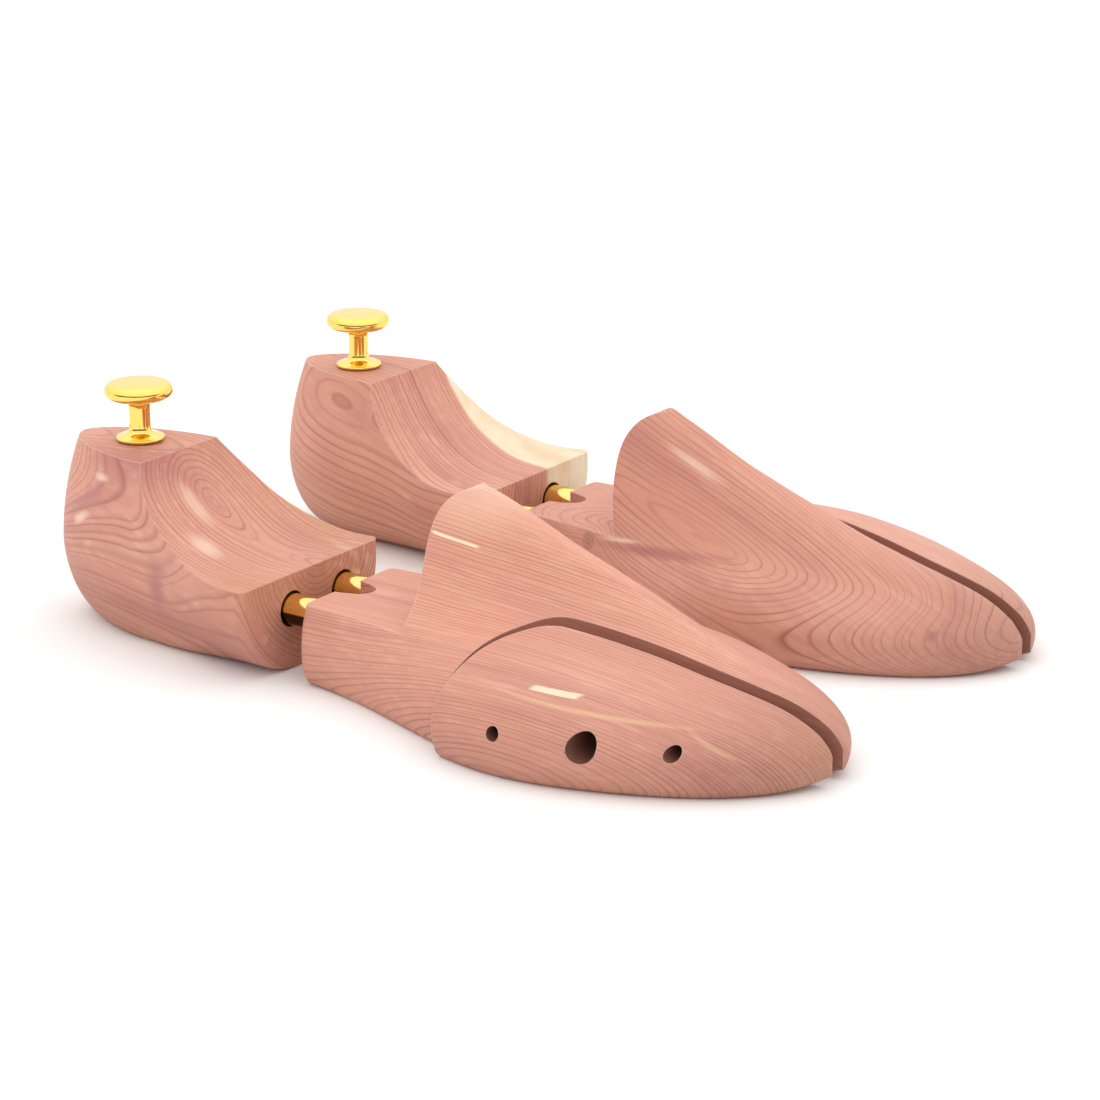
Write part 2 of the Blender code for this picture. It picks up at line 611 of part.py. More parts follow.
def side_block():
    """The side block where it rests, pushed out by its spring."""
    reach = 2 * BALL_HALF_WIDTH_OUTER
    guide_bore = turned("guide_bore", plain_rod(GUIDE_PIN_RADIUS + GUIDE_HOLE_CLEARANCE, -reach, reach))
    ledge_end = -SIDE_SPRING_SEAT
    ledge_start = ledge_end - STOP_LEDGE
    screw_bore = turned("screw_bore", stepped_rod([
        (STOP_HEAD_RADIUS + GUIDE_HOLE_CLEARANCE, -reach, ledge_start),
        (STOP_SHANK_RADIUS + GUIDE_HOLE_CLEARANCE, ledge_start, ledge_end),
        (SPRING_SEAT_RADIUS, ledge_end, reach),
    ]))
    cuts = [("INTERSECT", split_tool(SAW_KERF))]
    for x in guide_places():
        cuts.append(("DIFFERENCE", moved(guide_bore, at(x, 0, GUIDE_HEIGHT) @ TOWARDS_INNER)))
    face = at(STOP_X, split_y(STOP_X) - SAW_KERF, GUIDE_HEIGHT)
    cuts.append(("DIFFERENCE", moved(screw_bore, face @ TOWARDS_INNER)))
    sawn = carved("side_block", toe_blank(), cuts)
    sawn.transform(at(0, -SIDE_SPREAD, 0))
    return sawn


# Metal pieces, each about Z with its seat at z = 0

def pull():
    """The brass pull: flared foot, thin stem and a rounded disc, with a blind hole for its stud."""
    rim = PULL_DISC_THICKNESS / 2
    rim_z = PULL_HEIGHT - PULL_CROWN_RISE - rim
    under = rim_z - rim
    hole = [(0, GAP + STUD_IN_PULL), (STUD_RADIUS + GAP, GAP + STUD_IN_PULL), (STUD_RADIUS + GAP, GAP)]
    foot = [(PULL_FLANGE_RADIUS - PULL_FLANGE_EDGE / 3, GAP), (PULL_FLANGE_RADIUS, PULL_FLANGE_EDGE),
            (PULL_FLANGE_RADIUS - PULL_FLANGE_EDGE, PULL_FLARE_HEIGHT * 0.4),
            (PULL_STEM_RADIUS + PULL_FLANGE_EDGE, PULL_FLARE_HEIGHT / 2),
            (PULL_STEM_RADIUS, PULL_FLARE_HEIGHT)]
    neck = [(PULL_STEM_RADIUS, under - PULL_NECK_SPREAD),
            (PULL_STEM_RADIUS + PULL_NECK_SPREAD * 0.3, under - PULL_NECK_SPREAD * 0.4),
            (PULL_STEM_RADIUS + PULL_NECK_SPREAD, under)]
    edge_steps = 6
    edge_middle = PULL_RADIUS - rim
    edge = []
    for k in range(edge_steps + 1):
        turn = math.pi * (k / edge_steps - 0.5)
        edge.append((edge_middle + rim * math.cos(turn), rim_z + rim * math.sin(turn)))
    crown = [(PULL_RADIUS / 2, PULL_HEIGHT - PULL_CROWN_RISE / 3), (0, PULL_HEIGHT)]
    return turned("pull", hole + foot + neck + edge + crown)


def pointed_rod(name, radius, point, length):
    """A rod from its blunt point at z = 0 to a flat end."""
    return turned(name, [(0, 0), (radius / 2, 0), (radius, point), (radius, length), (0, length)],
                  SMALL_ROUND_SIDES)


def stud():
    """The two-ended stud that holds the pull: one end in the wood, the other in the pull."""
    rod = pointed_rod("stud", STUD_RADIUS, STUD_POINT, STUD_IN_HEEL + STUD_IN_PULL)
    return moved(rod, at(0, 0, -STUD_IN_HEEL))


def tube():
    """A brass tube open at both ends, its rear end rolled in to a lip that catches the rod's head."""
    length = TUBE_FRONT - TUBE_BACK
    bore = TUBE_RADIUS - TUBE_WALL
    lip = ROD_RADIUS + GAP
    drawn = turned("drawn", [(lip, 0), (TUBE_RADIUS - TUBE_WALL, 0), (TUBE_RADIUS, TUBE_WALL),
                             (TUBE_RADIUS, length), (bore, length), (bore, TUBE_LIP), (lip, TUBE_LIP)])
    pin_hole = turned("pin_hole", plain_rod(TUBE_PIN_RADIUS + GAP, bore / 2, 2 * TUBE_RADIUS),
                      SMALL_ROUND_SIDES)
    pin_along = TOE_REAR + TUBE_PIN_FROM_REAR - TUBE_BACK
    return carved("tube", drawn, [("DIFFERENCE", moved(pin_hole, at(0, 0, pin_along) @ ALONG_X))])


def draw_rod():
    """The headed rod screwed into the heel block; its head runs in the tube and stops at the lip."""
    reach = TUBE_BACK + TUBE_LIP + GAP - ROD_BACK
    return turned("draw_rod", [(0, 0), (ROD_RADIUS / 2, 0), (ROD_RADIUS, ROD_POINT), (ROD_RADIUS, reach),
                               (ROD_HEAD_RADIUS, reach), (ROD_HEAD_RADIUS, reach + ROD_HEAD_LENGTH),
                               (0, reach + ROD_HEAD_LENGTH)], SMALL_ROUND_SIDES)


def main_spring():
    """The spring around a draw rod, between the bottom of the bore and the end of the tube."""
    return coil("main_spring", MAIN_SPRING_RADIUS, MAIN_SPRING_WIRE, MAIN_SPRING_TURNS,
                SPRING_ROOM - 2 * GAP)


def tube_pin():
    """The nail driven up from under the shelf through the tube's wall."""
    return turned("tube_pin", plain_rod(TUBE_PIN_RADIUS, 0, TUBE_PIN_TOP - TUBE_PIN_FOOT), SMALL_ROUND_SIDES)


def guide_pin():
    """A pin fast in the toe block that the side block slides along."""
    return turned("guide_pin", plain_rod(GUIDE_PIN_RADIUS, -GUIDE_PIN_IN_SIDE - SIDE_SPREAD,
                                         GUIDE_PIN_IN_TOE), SMALL_ROUND_SIDES)


def stop_screw():
    """The shouldered screw whose head stops the side block where it is pushed out."""
    ledge = -SAW_KERF - SIDE_SPREAD - SIDE_SPRING_SEAT - STOP_LEDGE - GAP
    return turned("stop_screw", [(0, ledge - STOP_HEAD_LENGTH), (STOP_HEAD_RADIUS, ledge - STOP_HEAD_LENGTH),
                                 (STOP_HEAD_RADIUS, ledge), (STOP_SHANK_RADIUS, ledge),
                                 (STOP_SHANK_RADIUS, STOP_SCREW_IN_TOE - STOP_POINT),
                                 (STOP_SHANK_RADIUS / 2, STOP_SCREW_IN_TOE), (0, STOP_SCREW_IN_TOE)],
                  SMALL_ROUND_SIDES)


def side_spring():
    """The spring around the stop screw that spreads the side block."""
    return coil("side_spring", SIDE_SPRING_RADIUS, SIDE_SPRING_WIRE, SIDE_SPRING_TURNS,
                2 * SIDE_SPRING_SEAT + SAW_KERF + SIDE_SPREAD - 2 * GAP)


# Materials

def material(name, color, roughness, metallic):
    made = bpy.data.materials.new(name)
    made.use_nodes = True
    shader = made.node_tree.nodes["Principled BSDF"]
    shader.inputs["Base Color"].default_value = (*color, 1.0)
    shader.inputs["Roughness"].default_value = roughness
    shader.inputs["Metallic"].default_value = metallic
    return made


# Assembly

def add(name, mesh, place, side, finish):
    """A piece of one tree: place puts its mesh in the right tree's frame, and side is -1 right, +1 left."""
    mirror = Matrix.Scale(-side, 4, (0, 1, 0))
    origin = Vector((place.translation.x, -side * place.translation.y, place.translation.z))
    local = at(*-origin) @ mirror @ place
    piece = bpy.data.objects.new(name, moved(mesh, local))
    piece.data.materials.append(finish)
    piece.data.shade_smooth()
    piece.data.set_sharp_from_angle(angle=math.radians(35))
    piece.location = origin + Vector((-TREE_LENGTH / 2, side * TREE_SPACING / 2, 0))
    bpy.context.scene.collection.objects.link(piece)


def build_tree(label, side, meshes, wood, brass, steel):
    stays = Matrix.Identity(4)
    add(f"{label}_heel_block", meshes["heel_block"], stays, side, wood)
    add(f"{label}_toe_block", meshes["toe_block"], stays, side, wood)
    add(f"{label}_side_block", meshes["side_block"], stays, side, wood)
    pull_place = at(PULL_FROM_BACK, PULL_TO_INNER, HEEL_HEIGHT)
    add(f"{label}_pull", meshes["pull"], pull_place, side, brass)
    add(f"{label}_pull_stud", meshes["stud"], pull_place, side, steel)
    for where, y in zip(("outer", "inner"), tube_places()):
        add(f"{label}_{where}_tube", meshes["tube"], at(TUBE_BACK, y, TUBE_HEIGHT) @ ALONG_X, side, brass)
        add(f"{label}_{where}_draw_rod", meshes["draw_rod"], at(ROD_BACK, y, TUBE_HEIGHT) @ ALONG_X,
            side, steel)
        add(f"{label}_{where}_main_spring", meshes["main_spring"],
            at(BORE_BOTTOM + GAP, y, TUBE_HEIGHT) @ ALONG_X, side, steel)
        add(f"{label}_{where}_tube_pin", meshes["tube_pin"],
            at(TOE_REAR + TUBE_PIN_FROM_REAR, y, TUBE_PIN_FOOT), side, steel)
    for where, x in zip(("rear", "front"), guide_places()):
        add(f"{label}_{where}_guide_pin", meshes["guide_pin"],
            at(x, split_y(x), GUIDE_HEIGHT) @ TOWARDS_INNER, side, steel)
    stop = at(STOP_X, split_y(STOP_X), GUIDE_HEIGHT) @ TOWARDS_INNER
    add(f"{label}_stop_screw", meshes["stop_screw"], stop, side, steel)
    seat_depth = SAW_KERF + SIDE_SPREAD + SIDE_SPRING_SEAT - GAP
    add(f"{label}_side_spring", meshes["side_spring"], stop @ at(0, 0, -seat_depth), side, steel)


def build():
    for leftover in list(bpy.data.objects):
        bpy.data.objects.remove(leftover)
    meshes = {
        "heel_block": heel_block(),
        "toe_block": toe_block(),
        "side_block": side_block(),
        "pull": pull(),
        "stud": stud(),
        "tube": tube(),
        "draw_rod": draw_rod(),
        "main_spring": main_spring(),
        "tube_pin": tube_pin(),
        "guide_pin": guide_pin(),
        "stop_screw": stop_screw(),
        "side_spring": side_spring(),
    }
    wood = material("cedar", (0.60, 0.33, 0.24), 0.55, 0.0)
    brass = material("polished_brass", (0.92, 0.70, 0.22), 0.12, 1.0)
    steel = material("bright_steel", (0.62, 0.62, 0.62), 0.3, 1.0)
    build_tree("right", -1, meshes, wood, brass, steel)
    build_tree("left", 1, meshes, wood, brass, steel)


build()
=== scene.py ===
"""Pair of cedar shoe trees with brass tubes and pulls, set on a white table."""

import math

import bpy
import numpy as np
from mathutils import Matrix, Vector


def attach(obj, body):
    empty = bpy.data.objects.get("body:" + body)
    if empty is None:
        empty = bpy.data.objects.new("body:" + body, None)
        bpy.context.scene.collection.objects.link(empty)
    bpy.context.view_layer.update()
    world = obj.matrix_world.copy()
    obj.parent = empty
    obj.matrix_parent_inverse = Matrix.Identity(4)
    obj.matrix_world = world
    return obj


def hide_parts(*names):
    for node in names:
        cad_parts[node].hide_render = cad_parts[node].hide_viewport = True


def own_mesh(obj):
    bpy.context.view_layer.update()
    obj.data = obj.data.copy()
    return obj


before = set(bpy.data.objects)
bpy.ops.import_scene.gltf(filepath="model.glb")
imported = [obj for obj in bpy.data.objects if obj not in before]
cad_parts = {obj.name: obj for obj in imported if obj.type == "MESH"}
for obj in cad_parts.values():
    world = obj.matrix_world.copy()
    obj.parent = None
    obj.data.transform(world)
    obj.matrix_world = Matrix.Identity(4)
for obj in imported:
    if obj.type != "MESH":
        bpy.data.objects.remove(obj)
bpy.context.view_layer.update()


# The table and the light
# The pair stands on a plain white table in an even, wrap-round studio light that is a little
# stronger overhead and dark low down behind the camera, which gives the brass its dark lines.

# Where the camera stands, which way it looks, in degrees, and the way towards it on the table.
CAMERA_PLACE = (0.52401, -0.74872, 0.32159)
CAMERA_HEADING, CAMERA_DIP, CAMERA_ROLL = 34.731, 17.8905, -0.113
CAMERA_LENS = 101.93
TOWARDS_CAMERA = (0.573, -0.819, 0.0)
TABLE_HALF = 8.0

camera = bpy.data.objects.new("camera", bpy.data.cameras.new("camera"))
camera.data.sensor_width = 36.0
camera.data.lens = CAMERA_LENS
camera.data.clip_end = 50.0
camera.matrix_world = (Matrix.Translation(CAMERA_PLACE)
                       @ Matrix.Rotation(math.radians(CAMERA_HEADING), 4, "Z")
                       @ Matrix.Rotation(math.radians(90 - CAMERA_DIP), 4, "X")
                       @ Matrix.Rotation(math.radians(CAMERA_ROLL), 4, "Z"))
bpy.context.scene.collection.objects.link(camera)
bpy.context.scene.camera = camera
bpy.context.scene.view_settings.view_transform = "Standard"


def node_of(tree, kind, inputs=None, **settings):
    """A shader node with its settings, and its inputs joined to sockets or set to values."""
    made = tree.nodes.new(kind)
    for key, value in settings.items():
        setattr(made, key, value)
    for key, value in (inputs or {}).items():
        if isinstance(value, bpy.types.NodeSocket):
            tree.links.new(value, made.inputs[key])
        else:
            made.inputs[key].default_value = value
    return made


table_mesh = bpy.data.meshes.new("table")
table_corners = [(x * TABLE_HALF, y * TABLE_HALF, 0) for x, y in ((-1, -1), (1, -1), (1, 1), (-1, 1))]
table_mesh.from_pydata(table_corners, [], [(0, 1, 2, 3)])
table = bpy.data.objects.new("table", table_mesh)
bpy.context.scene.collection.objects.link(table)
white_top = bpy.data.materials.new("white_table")
white_top.use_nodes = True
for title, value in (("Base Color", (0.93, 0.93, 0.93, 1)), ("Roughness", 0.9), ("Specular IOR Level", 0.0)):
    white_top.node_tree.nodes["Principled BSDF"].inputs[title].default_value = value
table.data.materials.append(white_top)

studio = bpy.data.worlds.new("studio")
bpy.context.scene.world = studio
studio.use_nodes = True
sky = studio.node_tree
sky.nodes.clear()
direction = node_of(sky, "ShaderNodeTexCoord").outputs["Generated"]
height = node_of(sky, "ShaderNodeSeparateXYZ", {"Vector": direction}).outputs["Z"]
overhead = node_of(sky, "ShaderNodeMapRange", {"Value": height, "From Min": 0.10, "From Max": 0.95,
                                               "To Min": 1.06, "To Max": 1.46}).outputs["Result"]
behind = node_of(sky, "ShaderNodeVectorMath", {0: direction, 1: TOWARDS_CAMERA},
                 operation="DOT_PRODUCT").outputs["Value"]
behind = node_of(sky, "ShaderNodeMapRange", {"Value": behind, "From Min": 0.05, "From Max": 0.45,
                                             "To Min": 0.0, "To Max": 0.93},
                 interpolation_type="SMOOTHSTEP").outputs["Result"]
low = node_of(sky, "ShaderNodeMapRange", {"Value": height, "From Min": 0.17, "From Max": 0.30,
                                          "To Min": 1.0, "To Max": 0.0},
              interpolation_type="SMOOTHSTEP").outputs["Result"]
darkness = node_of(sky, "ShaderNodeMath", {0: behind, 1: low}, operation="MULTIPLY").outputs[0]
lit = node_of(sky, "ShaderNodeMath", {0: 1.0, 1: darkness}, operation="SUBTRACT").outputs[0]
strength = node_of(sky, "ShaderNodeMath", {0: overhead, 1: lit}, operation="MULTIPLY").outputs[0]
soft = node_of(sky, "ShaderNodeBackground", {"Color": (1.0, 0.99, 0.975, 1), "Strength": strength})
seen = node_of(sky, "ShaderNodeBackground", {"Color": (1, 1, 1, 1), "Strength": 1.0})
straight = node_of(sky, "ShaderNodeLightPath").outputs["Is Camera Ray"]
both = node_of(sky, "ShaderNodeMixShader", {0: straight, 1: soft.outputs[0], 2: seen.outputs[0]})
node_of(sky, "ShaderNodeOutputWorld", {"Surface": both.outputs[0]})


# Toe blocks
# One piece of red cedar each, turned on a copying lathe to the forepart of a last, milled level
# behind the instep, sawn lengthwise for the side block, bored for the tubes and sanded by hand.

TREE_LENGTH = 0.279
TREE_Y = {"right": -0.056, "left": 0.056}
TOE_LENGTH = 0.1695
TOE_REAR = TREE_LENGTH - TOE_LENGTH
GAP_TO_HEEL = 0.0115
BALL_HALF_WIDTH = 0.047
# Each side's half width at the rear and at the ball, how far the ball lies from the rear, how far
# the tip lies to that side of the middle, and how sharp the toe is.
OUTER_SIDE = (0.0242, BALL_HALF_WIDTH, 0.0915, -0.002, 1.6)
INNER_SIDE = (0.0223, 0.0455, 0.0995, 0.002, 1.65)
TOE_TAPER, TIP_OVERRUN = 1.75, 0.0005
DOME_SQUARENESS = 2.15
OUTER_RIDGE_POWER, INNER_RIDGE_POWER = 2.1, 3.2
DOME_STEPS, EDGE_STEPS, MOST_EDGE = 120, 10, 0.48
REAR_CORNER, BODY_LENGTH = 0.0025, 0.0995
SHELF_HEIGHT, STEP_UNDERCUT = 0.0247, 0.0043
CREST_HEIGHT, CREST_ROUND, CREST_FULLNESS = 0.0623, 0.0158, 0.85
CREST_BACK, CREST_X, CREST_TURN = TOE_REAR + 0.0353, TOE_REAR + 0.0475, math.radians(115)
NOTCH_DEPTH, NOTCH_HALF_WIDTH = 0.0095, 0.0062
SAW_KERF = 0.001
SIDE_SPREAD = 0.005
BEND_OPENING = 0.0016
SPLIT_BACK = TOE_REAR + 0.0585
SPLIT_STRAIGHT_X, SPLIT_STRAIGHT_Y = TOE_REAR + 0.0864, -0.0063
SPLIT_END_X, SPLIT_END_Y = TREE_LENGTH + 2 * SAW_KERF, 0.0022
TUBE_HEIGHT = 0.0188
TUBE_RADIUS = 0.0049
TUBE_Y = (-0.012225, 0.012225)
TUBE_INTO_TOE = 0.036
# The air left between fitted pieces, then the holes, each with that much room for the piece in it.
FIT_GAP = 0.0003
SOCKET_RADIUS = TUBE_RADIUS + FIT_GAP
NAIL_RADIUS, NAIL_TOP, NAIL_FROM_REAR = 0.0013, 0.0153, 0.012
GUIDE_HEIGHT = 0.0135
GUIDE_RADIUS, GUIDE_DEPTH = 0.0021, 0.0163
REAR_GUIDE_X = TOE_REAR + 0.0901
FRONT_GUIDE_X = TOE_REAR + 0.1387
STOP_SCREW_X = TOE_REAR + 0.1161
POCKET_RADIUS, POCKET_DEPTH = 0.0045, 0.003
SHANK_RADIUS, SHANK_DEPTH = 0.0019, 0.0223
SANDED_ANGLE = math.radians(33)
HOLE_MARGIN, CUT_MARGIN = 0.0001, 0.00005


def fair_curve(stations):
    """A smooth function through (x, value) stations that doesn't swing past them."""
    xs, ys = np.array(stations, float).T
    slopes = np.diff(ys) / np.diff(xs)
    before, after = slopes[:-1], slopes[1:]
    same_way = before * after > 0
    middle = np.where(same_way, 2 * before * after / np.where(same_way, before + after, 1.0), 0.0)
    tangents = np.concatenate([slopes[:1], middle, slopes[-1:]])

    def value(x):
        x = np.clip(x, xs[0], xs[-1])
        i = np.clip(np.searchsorted(xs, x, side="right") - 1, 0, len(slopes) - 1)
        h = xs[i + 1] - xs[i]
        t = (x - xs[i]) / h
        rise = (2 * t**3 - 3 * t**2 + 1) * ys[i] + (3 * t**2 - 2 * t**3) * ys[i + 1]
        return rise + h * ((t**3 - 2 * t**2 + t) * tangents[i] + (t**3 - t**2) * tangents[i + 1])

    return value


def bezier(handles, steps):
    """The points of a cubic curve at equal steps of its parameter."""
    t = np.linspace(0, 1, steps + 1)[:, None]
    a, b, c, d = np.array(handles)
    return (1 - t) ** 3 * a + 3 * (1 - t) ** 2 * t * b + 3 * (1 - t) * t * t * c + t**3 * d


def along_toe(stations):
    return fair_curve([(TOE_REAR + along, value) for along, value in stations])


toe_widest_level = along_toe(((0, 0.010), (0.035, 0.008), (0.085, 0.010), (0.135, 0.009),
                              (TOE_LENGTH, 0.0075)))
toe_sole = along_toe(((0, 0.001), (0.02, 0), (0.143, 0), (0.153, 0.0003), (0.160, 0.0009),
                      (0.1655, 0.0020), (TOE_LENGTH, 0.0034)))
toe_dome = along_toe(((0, 0.036), (0.030, 0.033), (0.06, 0.031), (0.085, 0.0305), (0.11, 0.0277),
                      (0.135, 0.0230), (0.155, 0.0187), (0.165, 0.0145), (0.1685, 0.011),
                      (TOE_LENGTH, 0.0092)))
toe_ridge = along_toe(((0, 0.0795), (0.0495, 0.0625), (0.0745, 0.0505), (0.0875, 0.0450),
                       (0.1015, 0.0393), (0.1145, 0.0336), (0.1295, 0.0278), (0.1425, 0.0240),
                       (0.1545, 0.0205), (0.165, 0.0150), (0.1685, 0.0112), (TOE_LENGTH, 0.0094)))
toe_ridge_y = along_toe(((0, 0.005), (0.038, 0.005), (0.053, 0.0065), (0.085, 0.007), (0.145, 0.005)))
toe_ridge_outer = along_toe(((0.035, 0.0125), (0.055, 0.012), (0.085, 0.0105), (0.11, 0.010)))
toe_ridge_inner = along_toe(((0.035, 0.0225), (0.052, 0.0185), (0.085, 0.0155), (0.11, 0.0135),
                             (0.14, 0.009)))
toe_sole_edge = along_toe(((0, 0.003), (0.035, 0.003), (0.085, 0.004), (0.125, 0.006), (TOE_LENGTH, 0.004)))


def toe_half_width(x, rear, ball, ball_from_rear, tip_y, sharpness):
    ball_x = TOE_REAR + ball_from_rear
    if x < ball_x:
        t = (ball_x - x) / ball_from_rear
        return ball - (ball - rear) * t * t * (3 - 2 * t)
    t = (x - ball_x) / (TREE_LENGTH + TIP_OVERRUN - ball_x)
    return tip_y + (ball - tip_y) * (1 - t**TOE_TAPER) ** (1 / sharpness)


def toe_ring(x, inset=0.0):
    """The uncut block's section at x: a dome that carries the instep ridge, over a rounded sole edge."""
    outer = toe_half_width(x, *OUTER_SIDE) - inset
    inner = toe_half_width(x, *INNER_SIDE) - inset
    widest, sole = toe_widest_level(x), toe_sole(x) + inset
    dome, ridge, ridge_y = toe_dome(x), toe_ridge(x), toe_ridge_y(x)
    angle = np.pi * (1 - np.linspace(0, 1, DOME_STEPS + 1))
    across = np.sign(np.cos(angle)) * np.abs(np.cos(angle)) ** (2 / DOME_SQUARENESS)
    up = np.abs(np.sin(angle)) ** (2 / DOME_SQUARENESS)
    y = (inner - outer) / 2 + (inner + outer) / 2 * across
    outside = y < ridge_y
    spread = np.where(outside, toe_ridge_outer(x), toe_ridge_inner(x))
    power = np.where(outside, OUTER_RIDGE_POWER, INNER_RIDGE_POWER)
    bump = max(ridge - dome, 0.0) * np.exp(-(np.abs(y - ridge_y) / spread) ** power)
    over = np.stack([y, widest + (dome - widest) * up + bump * np.sin(angle)], 1)
    edge = min(toe_sole_edge(x), MOST_EDGE * (outer + inner))
    turn = np.pi / 2 * np.arange(1, EDGE_STEPS + 1) / EDGE_STEPS
    fall = widest - (widest - sole) * np.sin(turn)
    under_inner = np.stack([inner - edge * (1 - np.cos(turn)), fall], 1)
    under_outer = np.stack([edge * (1 - np.cos(turn)) - outer, fall], 1)[::-1]
    ring = np.concatenate([over, under_inner, under_outer])
    return np.column_stack([np.full(len(ring), x), ring])


def loft(name, rings):
    """A closed body through rings of equally many points, capped at both ends, facing outwards."""
    count, points = len(rings[0]), np.concatenate(rings)
    faces = [list(range(count)), list(range(len(points) - 1, len(points) - count - 1, -1))]
    for row in range(len(rings) - 1):
        for k in range(count):
            j = (k + 1) % count
            faces.append([row * count + k, (row + 1) * count + k, (row + 1) * count + j, row * count + j])
    mesh = bpy.data.meshes.new(name)
    mesh.from_pydata(points.tolist(), [], faces)
    volume = sum(Vector(points[f[0]]).dot(Vector(points[f[1]]).cross(Vector(points[f[2]])))
                 + Vector(points[f[0]]).dot(Vector(points[f[2]]).cross(Vector(points[f[3]])))
                 for f in faces[2:])
    if volume < 0:
        mesh.flip_normals()
    return mesh


def prism(name, outline, low, high, upright):
    """An outline drawn out along Z when upright, and along Y if not."""
    def ring(level):
        return np.array([(a, b, level) if upright else (a, level, b) for a, b in outline])
    return loft(name, [ring(level) for level in (low, high)])


def drill(name, steps, sides=64):
    """A drill about Z made of (radius, low, high) steps."""
    around = 2 * np.pi * np.arange(sides) / sides
    circle = np.column_stack([np.cos(around), np.sin(around)])
    return loft(name, [np.column_stack([radius * circle, np.full(sides, z)])
                       for radius, low, high in steps for z in (low, high)])


def placed(mesh, matrix):
    """A copy of a mesh put through a matrix, still facing outwards when the matrix mirrors it."""
    copy = mesh.copy()
    copy.transform(matrix)
    if matrix.determinant() < 0:
        copy.flip_normals()
    return copy


def cut_out(name, blank, cuts):
    """The blank after each (operation, tool) in turn."""
    body = bpy.data.objects.new(name, blank)
    bpy.context.scene.collection.objects.link(body)
    tools = []
    for operation, tool_mesh in cuts:
        tool = bpy.data.objects.new(name + "_tool", tool_mesh)
        bpy.context.scene.collection.objects.link(tool)
        cut = body.modifiers.new("cut", "BOOLEAN")
        cut.object, cut.operation, cut.solver = tool, operation, "MANIFOLD"
        tools.append(tool)
    bpy.context.view_layer.update()
    mesh = bpy.data.meshes.new_from_object(body.evaluated_get(bpy.context.evaluated_depsgraph_get()))
    for helper in [body] + tools:
        bpy.data.objects.remove(helper)
    return mesh


def mark_faces(mesh, name, places):
    """Marks the faces whose corners are all in one of the places, where the wood gets painted shade."""
    corner, first = np.empty(len(mesh.loops), int), np.empty(len(mesh.polygons), int)
    mesh.loops.foreach_get("vertex_index", corner)
    mesh.polygons.foreach_get("loop_start", first)
    marked = np.max([np.minimum.reduceat(here[corner].astype(np.float32), first) for here in places], axis=0)
    mesh.attributes.new(name, "FLOAT", "FACE").data.foreach_set("value", marked)


def finished(mesh, holes, plan=None):
    """The cut block, smooth but for the arrises of its cuts, with the walls of its holes and the faces of the
    lengthwise cut marked for painted shade. A hole is (point, direction, radius, from, to)."""
    mesh.shade_smooth()
    mesh.set_sharp_from_angle(angle=SANDED_ANGLE)
    points = np.empty(len(mesh.vertices) * 3)
    mesh.vertices.foreach_get("co", points)
    points = points.reshape(-1, 3)
    drilled = []
    for point, way, radius, low, high in holes:
        offset = points - np.array(point)
        along = offset @ np.array(way)
        away = np.linalg.norm(offset - along[:, None] * np.array(way), axis=1)
        drilled.append((away < radius + HOLE_MARGIN) & (along > low) & (along < high))
    # The walls of the holes are marked for painted shade.
    mark_faces(mesh, "hole_shade", drilled)
    nearest = np.full(len(points), 1.0)
    for start, end in zip(plan[:-1], plan[1:]) if plan is not None else ():
        step = end - start
        share = np.clip((points[:, :2] - start) @ step / (step @ step), 0, 1)
        nearest = np.minimum(nearest, np.linalg.norm(points[:, :2] - start - share[:, None] * step, axis=1))
    # The faces of the saw cut between the blocks are marked for painted shade.
    mark_faces(mesh, "kerf_shade", [nearest < CUT_MARGIN])
    return mesh


def split_plan(shift, bend_shift=0.0):
    """Plan of the saw cut, shifted towards the outer side: in from the side, round, then to the toe.
    The bend, where the saw turns, can be shifted further. The last two points close it outside the block."""
    edge_y = -BALL_HALF_WIDTH - SIDE_SPREAD
    bend = bezier([(SPLIT_BACK, edge_y), (SPLIT_BACK + 0.0155, edge_y + 0.009),
                   (SPLIT_BACK + 0.0045, -0.0098), (SPLIT_STRAIGHT_X, SPLIT_STRAIGHT_Y)], 48)
    line = np.concatenate([bend, [(SPLIT_END_X, SPLIT_END_Y)]])
    along = np.gradient(line, axis=0)
    along[-1] = along[-2] = line[-1] - line[-2]
    along /= np.linalg.norm(along, axis=1)[:, None]
    shifts = shift + bend_shift * np.append(1 - np.linspace(0, 1, len(bend)) ** 2, 0.0)
    line = line + shifts[:, None] * np.column_stack([along[:, 1], -along[:, 0]])
    outside = -2 * BALL_HALF_WIDTH
    return np.concatenate([line, [(line[-1, 0], outside), (line[0, 0], outside)]])


def split_y(x):
    share = (x - SPLIT_STRAIGHT_X) / (SPLIT_END_X - SPLIT_STRAIGHT_X)
    return SPLIT_STRAIGHT_Y + (SPLIT_END_Y - SPLIT_STRAIGHT_Y) * share


def turned_blank():
    """The whole forepart as it leaves the lathe, before the saw."""
    rings = []
    for turn in np.linspace(0, math.pi / 2, 9):
        rings.append(toe_ring(TOE_REAR + REAR_CORNER * (1 - math.cos(turn)),
                              REAR_CORNER * (1 - math.sin(turn))))
    body_end = TOE_REAR + BODY_LENGTH
    for x in np.linspace(TOE_REAR + REAR_CORNER, body_end, 80)[1:]:
        rings.append(toe_ring(x))
    for turn in np.linspace(0, math.pi / 2, 80)[1:]:
        rings.append(toe_ring(body_end + (TREE_LENGTH - body_end) * math.sin(turn)))
    return loft("turned_blank", rings)


ALONG_X = Matrix.Rotation(math.pi / 2, 4, "Y")
ALONG_Y = Matrix.Rotation(-math.pi / 2, 4, "X")
# How far the tools reach to the side and up, how far behind the block two of them start, and the
# levels that the saw runs between.
REACH, OVER, SOCKET_RUN_IN, NOTCH_RUN_IN = 0.1, 0.125, 0.0112, 0.006
SPLIT_REACH = (-0.06, 0.13)

